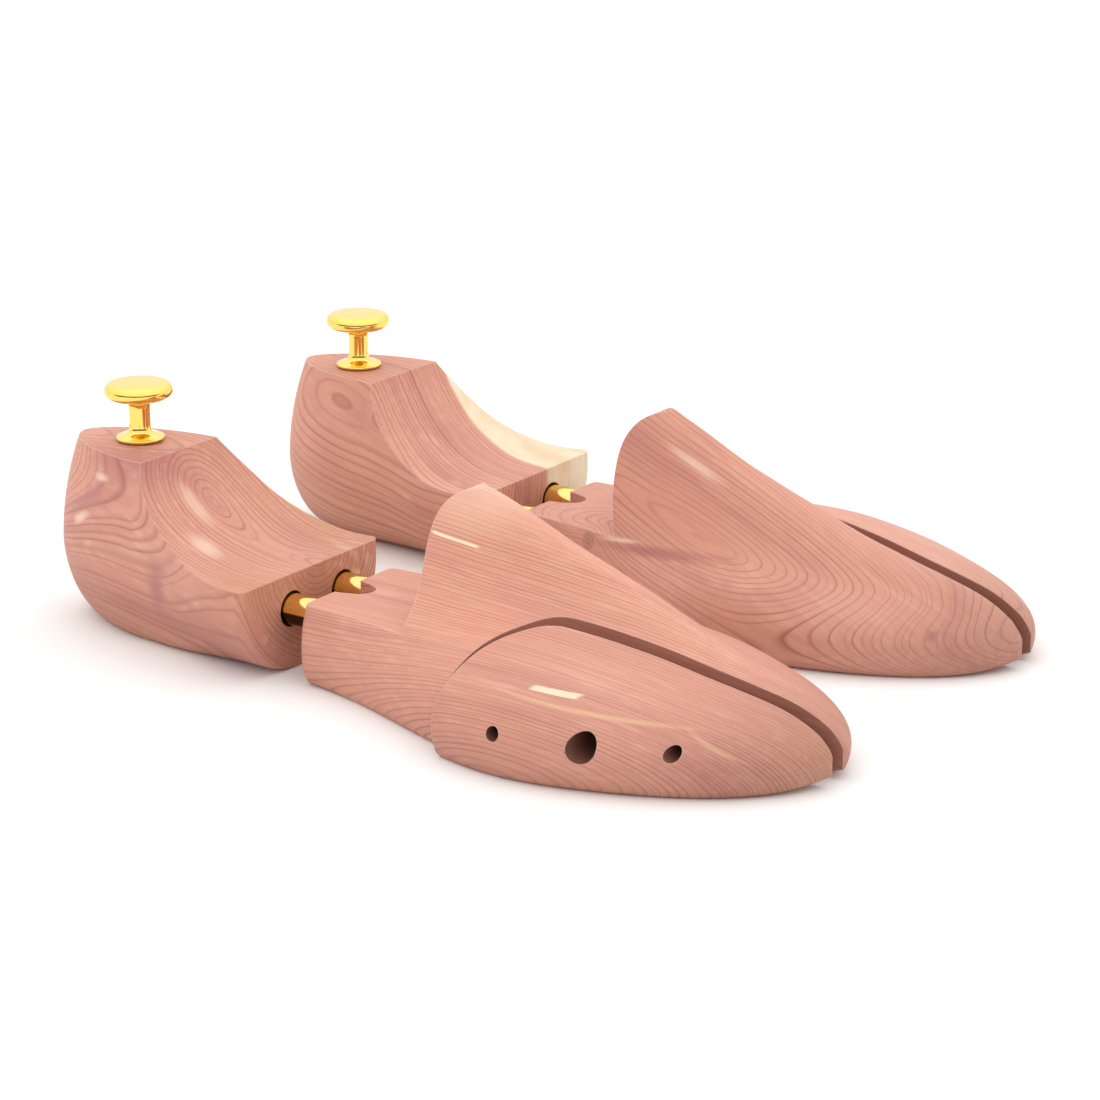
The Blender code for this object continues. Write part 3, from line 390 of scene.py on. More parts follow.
round_from = CREST_HEIGHT - CREST_ROUND
step_side = [(TOE_REAR - GAP_TO_HEEL, SHELF_HEIGHT)]
for up in np.linspace(0, 1, 25)[:-1]:
    step_side.append((CREST_BACK + STEP_UNDERCUT * (1 - up) ** 2,
                      SHELF_HEIGHT + up * (round_from - SHELF_HEIGHT)))
for turn in np.linspace(0, CREST_TURN, 41):
    across = math.copysign(abs(math.cos(turn)) ** CREST_FULLNESS, math.cos(turn))
    step_side.append((CREST_X - (CREST_X - CREST_BACK) * across,
                      round_from + CREST_ROUND * math.sin(turn) ** CREST_FULLNESS))
step_side += [(TREE_LENGTH, step_side[-1][1]), (TREE_LENGTH, OVER), (TOE_REAR - GAP_TO_HEEL, OVER)]
notch_t = np.linspace(0, 1, 17)
notch_edge = np.column_stack([TOE_REAR + NOTCH_DEPTH * np.sin(np.pi / 2 * notch_t),
                              NOTCH_HALF_WIDTH * (1 - notch_t) ** 0.8 * (1 + 0.35 * notch_t)])
notch_plan = np.concatenate([[(TOE_REAR - NOTCH_RUN_IN, -NOTCH_HALF_WIDTH)], notch_edge * (1, -1),
                             notch_edge[-2::-1], [(TOE_REAR - NOTCH_RUN_IN, NOTCH_HALF_WIDTH)]])
socket = drill("socket", [(SOCKET_RADIUS, 0, SOCKET_RUN_IN + TUBE_INTO_TOE)])
nail_hole = drill("nail_hole", [(NAIL_RADIUS, -0.02, NAIL_TOP)], 24)
pin_bore = drill("pin_bore", [(GUIDE_RADIUS, -REACH, GUIDE_DEPTH)], 32)
screw_bore = drill("screw_bore", [(POCKET_RADIUS, -REACH, POCKET_DEPTH),
                                  (SHANK_RADIUS, POCKET_DEPTH, SHANK_DEPTH)], 32)
main_split = split_plan(0, -BEND_OPENING)
toe_cuts = [("DIFFERENCE", prism("step", step_side, -REACH, REACH, upright=False)),
            ("DIFFERENCE", prism("split", main_split, *SPLIT_REACH, upright=True)),
            ("DIFFERENCE", prism("notch", notch_plan, -0.02, 0.05, upright=True))]
for y in TUBE_Y:
    mouth = Matrix.Translation((TOE_REAR - SOCKET_RUN_IN, y, TUBE_HEIGHT))
    nail_place = Matrix.Translation((TOE_REAR + NAIL_FROM_REAR, y, 0))
    toe_cuts += [("DIFFERENCE", placed(socket, mouth @ ALONG_X)),
                 ("DIFFERENCE", placed(nail_hole, nail_place))]
for x, bore in ((REAR_GUIDE_X, pin_bore), (FRONT_GUIDE_X, pin_bore), (STOP_SCREW_X, screw_bore)):
    bore_place = Matrix.Translation((x, split_y(x), GUIDE_HEIGHT))
    toe_cuts.append(("DIFFERENCE", placed(bore, bore_place @ ALONG_Y)))
toe_holes = [((TOE_REAR, y, TUBE_HEIGHT), (1, 0, 0), SOCKET_RADIUS, -0.001, 0.04) for y in TUBE_Y]
toe_holes += [((x, split_y(x), GUIDE_HEIGHT), (0, 1, 0), GUIDE_RADIUS, -0.001, 0.02)
              for x in (REAR_GUIDE_X, FRONT_GUIDE_X)]
toe_shape = finished(cut_out("toe_block", turned_blank(), toe_cuts), toe_holes, main_split[:-2])

SALMON, ROSY, BLOND = (0.720, 0.338, 0.246), (0.58, 0.232, 0.192), (0.86, 0.50, 0.39)
DUSKY, TAN, SHEEN = (0.53, 0.20, 0.185), (0.69, 0.335, 0.185), (0.94, 0.70, 0.54)
DARK_FIBRE, LIGHT_FIBRE = (0.45, 0.17, 0.12), (0.90, 0.60, 0.46)
# The last two colours on the next line are painted shade, for the saw cut between the blocks and for the
# walls of the holes.
LATE_WOOD, KERF_SHADE_COLOUR, HOLE_SHADE_COLOUR = (0.36, 0.125, 0.085), (0.36, 0.125, 0.09), (0.17, 0.062, 0.04)
SAPWOOD, DARKER_SAPWOOD, SAPWOOD_RING = (0.93, 0.79, 0.58), (0.82, 0.61, 0.40), (0.60, 0.38, 0.22)
# The second colour on the next line is a painted highlight for the arrises.
KNOT_HEART, EDGE_HIGHLIGHT_COLOUR = (0.34, 0.13, 0.10), (0.97, 0.70, 0.58)
CREAM, PALE, MAROON = (0.95, 0.80, 0.58), (0.95, 0.70, 0.54), (0.42, 0.12, 0.13)
ARRIS_WIDTH = 0.0005
# How dark a year's ring is from the start of spring to the end of summer.
YEAR = ((0.10, 0.06), (0.42, 0.0), (0.66, 0.16), (0.82, 0.72), (0.92, 1.0))


def cedar(name, pith, lean, ring_width, sway, seed, figure=1.0, crisp=1.0, bend=(1.0, 0.0, 0.0), flat=1.0,
          tone=1.0, sap_from=None, marks=(), knot=None):
    """Unvarnished red cedar. pith is a point on the log's centre line, where the pair stands, and lean
    the degrees that the log dips and turns by, so that its growth rings cross the block as they do in
    the real one. figure is how blotched the wood is and crisp how thin its dark lines are. bend is how
    far along the log its crook starts and how fast it grows across it, flat how oval the rings are below
    the pith, tone how light the wood is and sap_from the radius where the pale sapwood starts. A mark is
    (centre, degrees that it dips by, half sizes, colour, share), with blunt ends where its share is over
    0.8. A knot is (centre, reach, how far it pushes the rings)."""
    made = bpy.data.materials.new(name)
    made.use_nodes = True
    tree = made.node_tree
    shader = tree.nodes["Principled BSDF"]

    def calc(operation, a, b=0.0, c=0.0):
        return node_of(tree, "ShaderNodeMath", {0: a, 1: b, 2: c}, operation=operation).outputs[0]

    def vector(operation, a, b=(0, 0, 0), out=0):
        return node_of(tree, "ShaderNodeVectorMath", {0: a, 1: b}, operation=operation).outputs[out]

    def length(a):
        return vector("LENGTH", a, out="Value")

    def noise(at, scale, detail=2.0, rough=0.5, kind="4D", w=0.0, color=False):
        inputs = {"Scale": scale, "Detail": detail, "Roughness": rough, "W": at if kind == "1D" else w}
        if kind != "1D":
            inputs["Vector"] = at
        made_noise = node_of(tree, "ShaderNodeTexNoise", inputs, noise_dimensions=kind)
        return made_noise.outputs["Color" if color else "Fac"]

    def span(value, low, high, to_low=0.0, to_high=1.0, smooth=True):
        return node_of(tree, "ShaderNodeMapRange", {"Value": value, "From Min": low, "From Max": high,
                                                    "To Min": to_low, "To Max": to_high},
                       interpolation_type="SMOOTHSTEP" if smooth else "LINEAR").outputs["Result"]

    def blend(share, a, b):
        a, b = ((*color, 1) if isinstance(color, tuple) else color for color in (a, b))
        return node_of(tree, "ShaderNodeMix", {0: share, 6: a, 7: b}, data_type="RGBA").outputs[2]

    def offset_noise(at, scale, detail, w, size):
        centred = vector("SUBTRACT", noise(at, scale, detail, 0.45, w=w, color=True), (0.5, 0.5, 0.5))
        return vector("MULTIPLY", centred, (0, 2 * size, 2 * size))

    # The place in the log, and the radius about its crooked, rippled centre line.
    here = node_of(tree, "ShaderNodeTexCoord").outputs["Object"]
    dip, turn = (math.radians(angle) for angle in lean)
    log = node_of(tree, "ShaderNodeMapping", {"Vector": here, "Location": pith, "Rotation": (0, dip, turn)},
                  vector_type="TEXTURE").outputs["Vector"]
    along = node_of(tree, "ShaderNodeSeparateXYZ", {"Vector": log}).outputs["X"]
    past_bend = calc("POWER", calc("MAXIMUM", calc("SUBTRACT", along, bend[0]), 0.0), 2.0)
    crook = node_of(tree, "ShaderNodeCombineXYZ", {"Y": calc("MULTIPLY", past_bend, bend[1]),
                                                   "Z": calc("MULTIPLY", past_bend, bend[2])}).outputs[0]
    grown_round = vector("SUBTRACT", log, crook)
    stretched = vector("MULTIPLY", grown_round, (0.35, 1, 1))
    ripple = offset_noise(vector("MULTIPLY", grown_round, (0.5, 1, 1)), 75, 1.0, seed + 3, 0.0005)
    warped = vector("ADD", vector("ADD", grown_round, offset_noise(stretched, 15, 1.5, seed, sway)), ripple)
    if flat != 1:
        below = vector("MULTIPLY", vector("MINIMUM", warped, (1, 1, 0)), (0, 0, 1 - flat))
        radius = length(vector("MULTIPLY", vector("SUBTRACT", warped, below), (0, 1, 1)))
    else:
        radius = length(vector("MULTIPLY", warped, (0, 1, 1)))
    if knot:
        knot_at, knot_reach, knot_push = knot
        away = length(vector("SUBTRACT", here, knot_at))
        far_share = calc("POWER", calc("DIVIDE", away, knot_reach), 2.0)
        swell = calc("MULTIPLY", calc("EXPONENT", calc("MULTIPLY", far_share, -1.0)), knot_push)
        radius = calc("ADD", radius, swell)

    # The years' rings, some of them stronger than others, and stronger in some patches.
    uneven = calc("MULTIPLY", noise(radius, 230, 2.0, 0.5, "1D"), 2.0)
    years = calc("ADD", calc("DIVIDE", radius, ring_width), uneven)
    late = node_of(tree, "ShaderNodeValToRGB", {"Fac": calc("FRACT", years)})
    stops = late.color_ramp.elements
    stops[0].position, stops[0].color = 0.0, (0.40, 0.40, 0.40, 1)
    stops[1].position, stops[1].color = 1.0, (0.50, 0.50, 0.50, 1)
    for position, level in YEAR:
        stops.new(position).color = (level, level, level, 1)
    vigour = node_of(tree, "ShaderNodeTexWhiteNoise", {"W": calc("FLOOR", years)},
                     noise_dimensions="1D").outputs["Value"]
    patch = noise(stretched, 45, 2.0, w=seed + 11)
    strength = calc("MULTIPLY", span(vigour, 0.0, 1.0, 0.45, 1.0, False), span(patch, 0.3, 0.7, 0.65, 1.0))
    line = calc("MULTIPLY", calc("POWER", late.outputs["Color"], crisp), strength)

    # Heartwood: salmon, with rosy, tan and dusky zones that keep to the rings, paler in patches.
    zone_at = node_of(tree, "ShaderNodeCombineXYZ", {"X": calc("MULTIPLY", along, 6.0),
                                                     "Y": calc("MULTIPLY", radius, 110.0)}).outputs[0]
    zone = noise(zone_at, 1.0, 3.0, 0.6, w=seed + 5)
    wood = blend(span(zone, 0.28, 0.50, 1.0, 0.0), SALMON, ROSY)
    cloud = noise(stretched, 24, 2.0, 0.5, w=seed + 17)
    wood = blend(span(cloud, 0.52, 0.76, 0.0, 0.8 * figure), wood, BLOND)
    wood = blend(span(cloud, 0.48, 0.26, 0.0, 0.9 * figure), wood, DUSKY)
    warm = noise(stretched, 16, 1.0, 0.5, w=seed + 31)
    wood = blend(span(warm, 0.50, 0.72, 0.0, 0.4 + 0.3 * figure), wood, TAN)
    fine = noise(vector("MULTIPLY", log, (20, 520, 520)), 1.0, 3.0, 0.6, w=seed)
    wood = blend(span(fine, 0.30, 0.58, 0.20, 0.0, False), wood, DARK_FIBRE)
    wood = blend(span(fine, 0.52, 0.78, 0.0, 0.20, False), wood, LIGHT_FIBRE)
    # Painted sheen: pale shimmering streaks that stand for light caught by the grain.
    sheen_at = noise(vector("MULTIPLY", grown_round, (0.8, 1, 1)), 60, 2.0, 0.5, w=seed + 41)
    streak = noise(vector("MULTIPLY", log, (40, 260, 260)), 1.0, 1.0, 0.5, w=seed + 43)
    glint = calc("MULTIPLY", span(sheen_at, 0.58, 0.74), span(streak, 0.45, 0.70))
    wood = blend(calc("MULTIPLY", glint, 0.6 * figure), wood, SHEEN)
    wood = blend(calc("MULTIPLY", line, 0.9), wood, LATE_WOOD)
    if sap_from:
        edge = calc("ADD", radius, calc("MULTIPLY", noise(stretched, 40, 3.0, w=seed + 23), 0.004))
        sap = blend(span(noise(stretched, 90, 3.0, 0.6, w=seed + 29), 0.35, 0.7), SAPWOOD, DARKER_SAPWOOD)
        sap = blend(calc("MULTIPLY", line, 0.30), sap, SAPWOOD_RING)
        wood = blend(span(edge, sap_from, sap_from + 0.0016), wood, sap)

    # Marks that this block has of its own: streaks and flecks in the wood, and some patches of painted
    # highlight, sheen and shade.
    for mark_at, mark_dip, size, color, share in marks:
        slant = node_of(tree, "ShaderNodeMapping", {"Vector": here, "Location": mark_at, "Scale": size,
                                                    "Rotation": (0, math.radians(mark_dip), 0)},
                        vector_type="TEXTURE").outputs["Vector"]
        blunt = share > 0.8
        if blunt:
            sides = node_of(tree, "ShaderNodeSeparateXYZ", {"Vector": vector("ABSOLUTE", slant)}).outputs
            reach = calc("MAXIMUM", calc("MAXIMUM", sides["X"], sides["Y"]), sides["Z"])
        else:
            reach = length(slant)
        ragged = calc("ADD", reach, calc("MULTIPLY", calc("SUBTRACT", fine, 0.5), 0.8))
        wood = blend(span(ragged, 1.08, 0.80 if blunt else 0.15, 0.0, share), wood, color)
    if knot:
        whorl = calc("FRACT", calc("ADD", calc("MULTIPLY", away, 700.0), calc("MULTIPLY", cloud, 6.0)))
        core = span(away, knot_reach * 0.42, knot_reach * 0.15)
        wood = blend(calc("MULTIPLY", core, span(whorl, 0.2, 0.9, 0.3, 0.7)), wood, KNOT_HEART)

    # Painted shade on the faces of the lengthwise cut and on the walls of the bores, and painted highlights
    # along the arrises.
    for shaded_place, share, color in (("kerf_shade", 0.62, KERF_SHADE_COLOUR), ("hole_shade", 0.88, HOLE_SHADE_COLOUR)):
        shaded_share = node_of(tree, "ShaderNodeAttribute", attribute_name=shaded_place).outputs["Fac"]
        wood = blend(calc("MULTIPLY", shaded_share, share), wood, color)
    eased = node_of(tree, "ShaderNodeBevel", {"Radius": ARRIS_WIDTH}, samples=4).outputs["Normal"]
    face_normal = node_of(tree, "ShaderNodeNewGeometry").outputs["Normal"]
    # Painted highlight: the arrises, where the bevel normal turns from the face normal, are painted pale.
    edge_highlight = span(vector("DOT_PRODUCT", eased, face_normal, "Value"), 0.985, 0.90)
    wood = blend(calc("MULTIPLY", edge_highlight, 0.75), wood, EDGE_HIGHLIGHT_COLOUR)

    # Painted shade and light: the wood is painted darker towards the sole and a little lighter higher up, and
    # it is darker towards the toe tip.
    place = node_of(tree, "ShaderNodeSeparateXYZ", {"Vector": here}).outputs
    shade_and_toe_darkening = calc("MULTIPLY", span(place["Z"], 0.0, 0.045, 0.84 * tone, 1.03 * tone),
                 span(place["X"], 0.098, 0.138, 1.0, 0.84))
    toned = node_of(tree, "ShaderNodeVectorMath", {0: wood, "Scale": shade_and_toe_darkening}, operation="SCALE").outputs[0]
    tree.links.new(toned, shader.inputs["Base Color"])
    polish = calc("ADD", span(fine, 0.2, 0.8, 0.48, 0.62, False), calc("MULTIPLY", line, -0.08))
    tree.links.new(polish, shader.inputs["Roughness"])
    shader.inputs["Specular IOR Level"].default_value = 0.35
    relief = calc("ADD", calc("MULTIPLY", fine, 0.6), calc("MULTIPLY", line, 0.5))
    bump = node_of(tree, "ShaderNodeBump", {"Height": relief, "Strength": 0.25, "Distance": 0.00012,
                                            "Normal": eased})
    tree.links.new(bump.outputs["Normal"], shader.inputs["Normal"])
    return made


def add_piece(name, mesh, matrix, finish, body, replaced):
    """A finished piece on its body, in the place of its CAD node."""
    piece = bpy.data.objects.new(name, placed(mesh, matrix))
    piece.data.name = name
    if finish:
        piece.data.materials.clear()
        piece.data.materials.append(finish)
    bpy.context.scene.collection.objects.link(piece)
    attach(piece, body)
    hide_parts(replaced)
    return piece


def tree_place(label):
    """From the drawing of the right tree to where a tree stands. The left one is its mirror image."""
    shift = Matrix.Translation((-TREE_LENGTH / 2, TREE_Y[label], 0))
    return shift @ Matrix.Scale(1 if label == "right" else -1, 4, (0, 1, 0))


right_log = {"lean": (3, 0), "ring_width": 0.0011, "sway": 0.003, "seed": 1.0, "crisp": 1.3}
left_log = {"lean": (19.3, -11.8), "ring_width": 0.00135, "sway": 0.0014, "seed": 7.0, "crisp": 2.2,
            "bend": (0.0357, 5.2, -4.6)}
toe_cedar = {
    "right": cedar("cedar_right_toe", (0.0, -0.165, -0.055), **right_log, figure=0.3, tone=1.05,
                   # The first mark is a painted highlight on the crest's top; the other two are pale flecks
                   # in the wood.
                   marks=(((0.0175, -0.0560, 0.0610), 0, (0.0220, 0.040, 0.0140), PALE, 0.3),
                          ((0.0140, -0.0607, 0.0484), 10, (0.0080, 0.020, 0.0004), CREAM, 0.85),
                          ((-0.0005, -0.0772, 0.0268), 0, (0.0040, 0.020, 0.0005), PALE, 0.7))),
    "left": cedar("cedar_left_toe", (0.0175, 0.0375, 0.0360), **left_log, figure=0.6, tone=0.94,
                  knot=((-0.0013, 0.0302, 0.0213), 0.009, 0.004),
                  marks=(((0.0290, 0.0265, 0.0238), -4, (0.0330, 0.015, 0.0022), MAROON, 0.6),
                         ((0.0120, 0.0270, 0.0245), -6, (0.0100, 0.015, 0.0010), PALE, 0.7),
                         # Painted sheen: pale streaks on the upper crest.
                         ((0.0324, 0.0400, 0.0495), 23, (0.0150, 0.006, 0.0018), PALE, 0.6),
                         ((0.1213, 0.0307, 0.0137), 0, (0.0020, 0.010, 0.0020), MAROON, 0.5))),
}
for label in TREE_Y:
    add_piece(f"{label}_toe_wood", toe_shape, tree_place(label), toe_cedar[label], "toe_blocks",
              f"{label}_toe_block")


# Side blocks
# The outer third of each forepart, sawn from the same blank. It slides on two steel pins, and the
# wide hole between theirs takes the head of the screw that stops it where its spring spreads it.

HEAD_HOLE_RADIUS, HEAD_SEAT = 0.0041, 0.011
STRAW = (0.90, 0.60, 0.34)

guide_bore = drill("guide_bore", [(GUIDE_RADIUS, -REACH, REACH)], 48)
head_bore = drill("head_bore", [(HEAD_HOLE_RADIUS, -REACH, -HEAD_SEAT),
                                (SHANK_RADIUS, -HEAD_SEAT, -POCKET_DEPTH),
                                (POCKET_RADIUS, -POCKET_DEPTH, REACH)], 64)
side_split = split_plan(SAW_KERF)
side_cuts = [("INTERSECT", prism("split", side_split, *SPLIT_REACH, upright=True))]
for x in (REAR_GUIDE_X, FRONT_GUIDE_X):
    side_cuts.append(("DIFFERENCE", placed(guide_bore, Matrix.Translation((x, 0, GUIDE_HEIGHT)) @ ALONG_Y)))
side_face = Matrix.Translation((STOP_SCREW_X, split_y(STOP_SCREW_X) - SAW_KERF, GUIDE_HEIGHT))
side_cuts.append(("DIFFERENCE", placed(head_bore, side_face @ ALONG_Y)))
side_holes = [((x, 0, GUIDE_HEIGHT), (0, 1, 0), radius, -0.2, 0.2) for x, radius in
              ((REAR_GUIDE_X, GUIDE_RADIUS), (STOP_SCREW_X, POCKET_RADIUS), (FRONT_GUIDE_X, GUIDE_RADIUS))]
side_shape = finished(cut_out("side_block", turned_blank(), side_cuts), side_holes, side_split[:-2])
side_shape.transform(Matrix.Translation((0, -SIDE_SPREAD, 0)))

side_cedar = {
    "right": cedar("cedar_right_side", (0.0, -0.210, -0.085), **right_log, figure=0.35, tone=0.98,
                   marks=(((0.0718, -0.0935, 0.0239), 4, (0.0072, 0.020, 0.00045), CREAM, 0.9),
                          ((0.0850, -0.0950, 0.0207), 5, (0.0480, 0.020, 0.0006), STRAW, 0.5),
                          ((0.1175, -0.0850, 0.0146), 24, (0.0120, 0.020, 0.0006), STRAW, 0.5))),
    "left": cedar("cedar_left_side", (0.0175, 0.0425, 0.0360), **left_log, figure=0.5),
}
for label in TREE_Y:
    add_piece(f"{label}_side_wood", side_shape, tree_place(label), side_cedar[label], f"{label}_side",
              f"{label}_side_block")


# Heel blocks
# One piece of red cedar each, shaped to the back of a last: a round bulb behind, a shallow scoop
# in each side, and a long hollow slope in front of the flat top. Two bores take the tubes.

HEEL_LENGTH = 0.098
HEEL_HEIGHT = 0.057
HEEL_TOP_FRONT = 0.0453
HEEL_FRONT_HEIGHT = 0.0298
HEEL_BULB_HEIGHT = 0.025
HEEL_CORNER = 0.003
BACK_LEAN, BACK_UNDERCUT = 0.0055, 0.015
BORE_RADIUS, BORE_BOTTOM = 0.0056, 0.038
ROD_HOLE_RADIUS, ROD_HOLE_FROM = 0.0019, 0.0267
PULL_FROM_BACK = 0.0278
PULL_TO_INNER = 0.001
STUD_HOLE_RADIUS, STUD_HOLE_DEPTH = 0.0023, 0.0163
MAUVE = (0.50, 0.20, 0.19)

# Half widths at the bulb's level, then at the top, and how far the sole draws in, from the back forwards.
heel_outer = [fair_curve(stations) for stations in (
    ((HEEL_TOP_FRONT, 0.0256), (0.0563, 0.0268), (0.0790, 0.0328), (HEEL_LENGTH, 0.0362)),
    ((HEEL_TOP_FRONT, 0.0188), (0.0563, 0.0250), (0.0790, 0.0325), (HEEL_LENGTH, 0.0330)),
    ((0, 0.0125), (0.0533, 0.0085), (0.0860, 0.0220), (HEEL_LENGTH, 0.0245)))]
heel_inner = [fair_curve(stations) for stations in (
    ((HEEL_TOP_FRONT, 0.0250), (0.0563, 0.0260), (0.0790, 0.0302), (HEEL_LENGTH, 0.0308)),
    ((HEEL_TOP_FRONT, 0.0166), (0.0563, 0.0226), (0.0790, 0.0295), (HEEL_LENGTH, 0.0290)),
    ((0, 0.0160), (0.0533, 0.0185), (0.0860, 0.0240), (HEEL_LENGTH, 0.0240)))]


def heel_ring(z):
    """The uncut heel's level outline at z."""
    lift = max(z - HEEL_BULB_HEIGHT, 0.0) / (HEEL_HEIGHT - HEEL_BULB_HEIGHT)
    drop = max(HEEL_BULB_HEIGHT - z, 0.0) / HEEL_BULB_HEIGHT
    round_under = 1.0 - math.sqrt(max(1.0 - drop * drop, 0.0))
    back = BACK_LEAN * lift**2.2 + BACK_UNDERCUT * round_under
    straight_end = HEEL_LENGTH - HEEL_CORNER
    x = np.concatenate([back + (HEEL_TOP_FRONT - back) * (1 - np.cos(np.pi / 2 * np.arange(1, 40) / 40)),
                        np.linspace(HEEL_TOP_FRONT, straight_end, 50)])
    sides = []
    for low, high, tuck in (heel_outer, heel_inner):
        wall = low(x) + (high(x) - low(x)) * lift**1.8 - tuck(x) * round_under
        t = np.clip((HEEL_TOP_FRONT - x) / (HEEL_TOP_FRONT - back), 0, 1)
        y = wall * np.clip(1 - t ** (2.0 - 0.2 * lift - 0.3 * drop), 0, 1) ** (0.5 + 0.05 * lift)
        turn = np.pi / 2 * np.arange(1, 9) / 8
        sides.append(np.column_stack([np.concatenate([x, straight_end + HEEL_CORNER * np.sin(turn)]),
                                      np.concatenate([y, y[-1] - HEEL_CORNER + HEEL_CORNER * np.cos(turn)])]))
    ring = np.concatenate([[(back, 0.0)], sides[0] * (1, -1), sides[1][::-1]])
    return np.column_stack([ring, np.full(len(ring), z)])


heel_levels = np.concatenate([HEEL_BULB_HEIGHT * (1 - np.cos(np.pi / 2 * np.arange(41) / 40)),
                              np.linspace(HEEL_BULB_HEIGHT, HEEL_HEIGHT, 40)[1:]])
heel_blank = loft("heel_blank", [heel_ring(z) for z in heel_levels])
slope = bezier([(HEEL_TOP_FRONT, HEEL_HEIGHT), (HEEL_TOP_FRONT + 0.0052, HEEL_HEIGHT - 0.012),
                (HEEL_TOP_FRONT + 0.0217, HEEL_FRONT_HEIGHT), (HEEL_LENGTH - 0.009, HEEL_FRONT_HEIGHT)], 60)
slope_start, past_front, over_top = HEEL_TOP_FRONT - 0.0013, 0.1095, 0.114
slope_side = np.concatenate([[(slope_start, 0.06)], slope, [(past_front, HEEL_FRONT_HEIGHT),
                                                            (past_front, over_top),
                                                            (slope_start, over_top)]])
heel_bore = drill("heel_bore", [(ROD_HOLE_RADIUS, ROD_HOLE_FROM, BORE_BOTTOM),
                                (BORE_RADIUS, BORE_BOTTOM, past_front)])
stud_hole = drill("stud_hole", [(STUD_HOLE_RADIUS, 0, HEEL_HEIGHT)], 32)
heel_cuts = [("DIFFERENCE", prism("slope", slope_side, -0.098, 0.098, upright=False))]
for y in TUBE_Y:
    heel_cuts.append(("DIFFERENCE", placed(heel_bore, Matrix.Translation((0, y, TUBE_HEIGHT)) @ ALONG_X)))
stud_foot = Matrix.Translation((PULL_FROM_BACK, PULL_TO_INNER, HEEL_HEIGHT - STUD_HOLE_DEPTH))
heel_cuts.append(("DIFFERENCE", placed(stud_hole, stud_foot)))
heel_holes = [((HEEL_LENGTH, y, TUBE_HEIGHT), (1, 0, 0), BORE_RADIUS, -0.08, 0.01) for y in TUBE_Y]
heel_shape = finished(cut_out("heel_block", heel_blank, heel_cuts), heel_holes)

heel_cedar = {
    "right": cedar("cedar_right_heel", (-0.0945, -0.0550, 0.0420), (11, 0), 0.0017, 0.005, 3.0, crisp=1.4,
                   tone=0.94,
                   # Of these marks, the first is a mauve band in the wood; the second and third are painted
                   # glints on the bulb, the fourth a mauve patch in the scoop that is partly the wood's
                   # colour and partly painted shade, and the last two painted sheen on the slope.
                   marks=(((-0.1147, -0.0770, 0.0430), -35, (0.0150, 0.010, 0.0040), MAUVE, 0.7),
                          ((-0.1101, -0.0780, 0.0501), 0, (0.0045, 0.010, 0.0018), PALE, 0.7),
                          ((-0.1185, -0.0770, 0.0360), -27, (0.0060, 0.010, 0.0022), PALE, 0.7),
                          ((-0.0820, -0.0810, 0.0220), 0, (0.0055, 0.012, 0.0140), MAUVE, 0.75),
                          ((-0.0706, -0.0735, 0.0343), 25, (0.0080, 0.005, 0.0040), PALE, 0.6),
                          ((-0.0834, -0.0629, 0.0426), 40, (0.0120, 0.004, 0.0050), PALE, 0.5))),
    "left": cedar("cedar_left_heel", (-0.1275, 0.0368, 0.0580), (10.7, -13), 0.0018, 0.003, 9.0, figure=0.8,
                  crisp=1.4, flat=0.6, tone=0.94, sap_from=0.0492),
}
for label in TREE_Y:
    add_piece(f"{label}_heel_wood", heel_shape, tree_place(label), heel_cedar[label], f"{label}_heel",
              f"{label}_heel_block")


# Tubes
# Drawn brass tube, polished, fast in the toe block. Its rear end is rolled in to a small lip that
# catches the head of the draw rod, and runs free in the heel block's bore.

TUBE_INTO_HEEL = 0.038
TUBE_BACK = HEEL_LENGTH - TUBE_INTO_HEEL
TUBE_LENGTH = TOE_REAR + TUBE_INTO_TOE - TUBE_BACK
TUBE_WALL = 0.0008
LIP_THICKNESS, LIP_HOLE = 0.0016, 0.0019
# The colour of the painted dark reflection on the tubes' lower flanks.
DARK_REFLECTION_BROWN = (0.020, 0.011, 0.004)


def turned_mesh(name, profile, sides):
    """A body turned about Z from (radius, z) points: a closed loop, or a line from axis to axis."""
    profile = np.array(profile)
    around = 2 * np.pi * np.arange(sides) / sides
    on_axis = profile[0, 0] == 0
    points, rows = [], []
    for radius, z in profile:
        if radius == 0:
            rows.append([len(points)])
            points.append((0, 0, z))
            continue
        rows.append(list(range(len(points), len(points) + sides)))
        points += [(radius * math.cos(a), radius * math.sin(a), z) for a in around]
    faces = []
    for row, following in zip(rows, rows[1:] if on_axis else rows[1:] + rows[:1]):
        for k in range(sides):
            j = (k + 1) % sides
            if len(row) == 1:
                faces.append((row[0], following[j], following[k]))
            elif len(following) == 1:
                faces.append((row[k], row[j], following[0]))
            else:
                faces.append((row[k], row[j], following[j], following[k]))
    mesh = bpy.data.meshes.new(name)
    mesh.from_pydata(points, [], faces)
    mesh.shade_smooth()
    mesh.set_sharp_from_angle(angle=math.radians(40))
    return mesh


def rounded(corners, radius, steps=5):
    """A closed loop of points with each corner cut by a small arc."""
    corners = [Vector(corner) for corner in corners]
    made = []
    for k, corner in enumerate(corners):
        before, after = corners[k - 1], corners[(k + 1) % len(corners)]
        reach = min(radius, 0.45 * (before - corner).length, 0.45 * (after - corner).length)
        start = corner + (before - corner).normalized() * reach
        end = corner + (after - corner).normalized() * reach
        for step in range(steps + 1):
            s = step / steps
            made.append(tuple((1 - s) ** 2 * start + 2 * (1 - s) * s * corner + s * s * end))
    return made


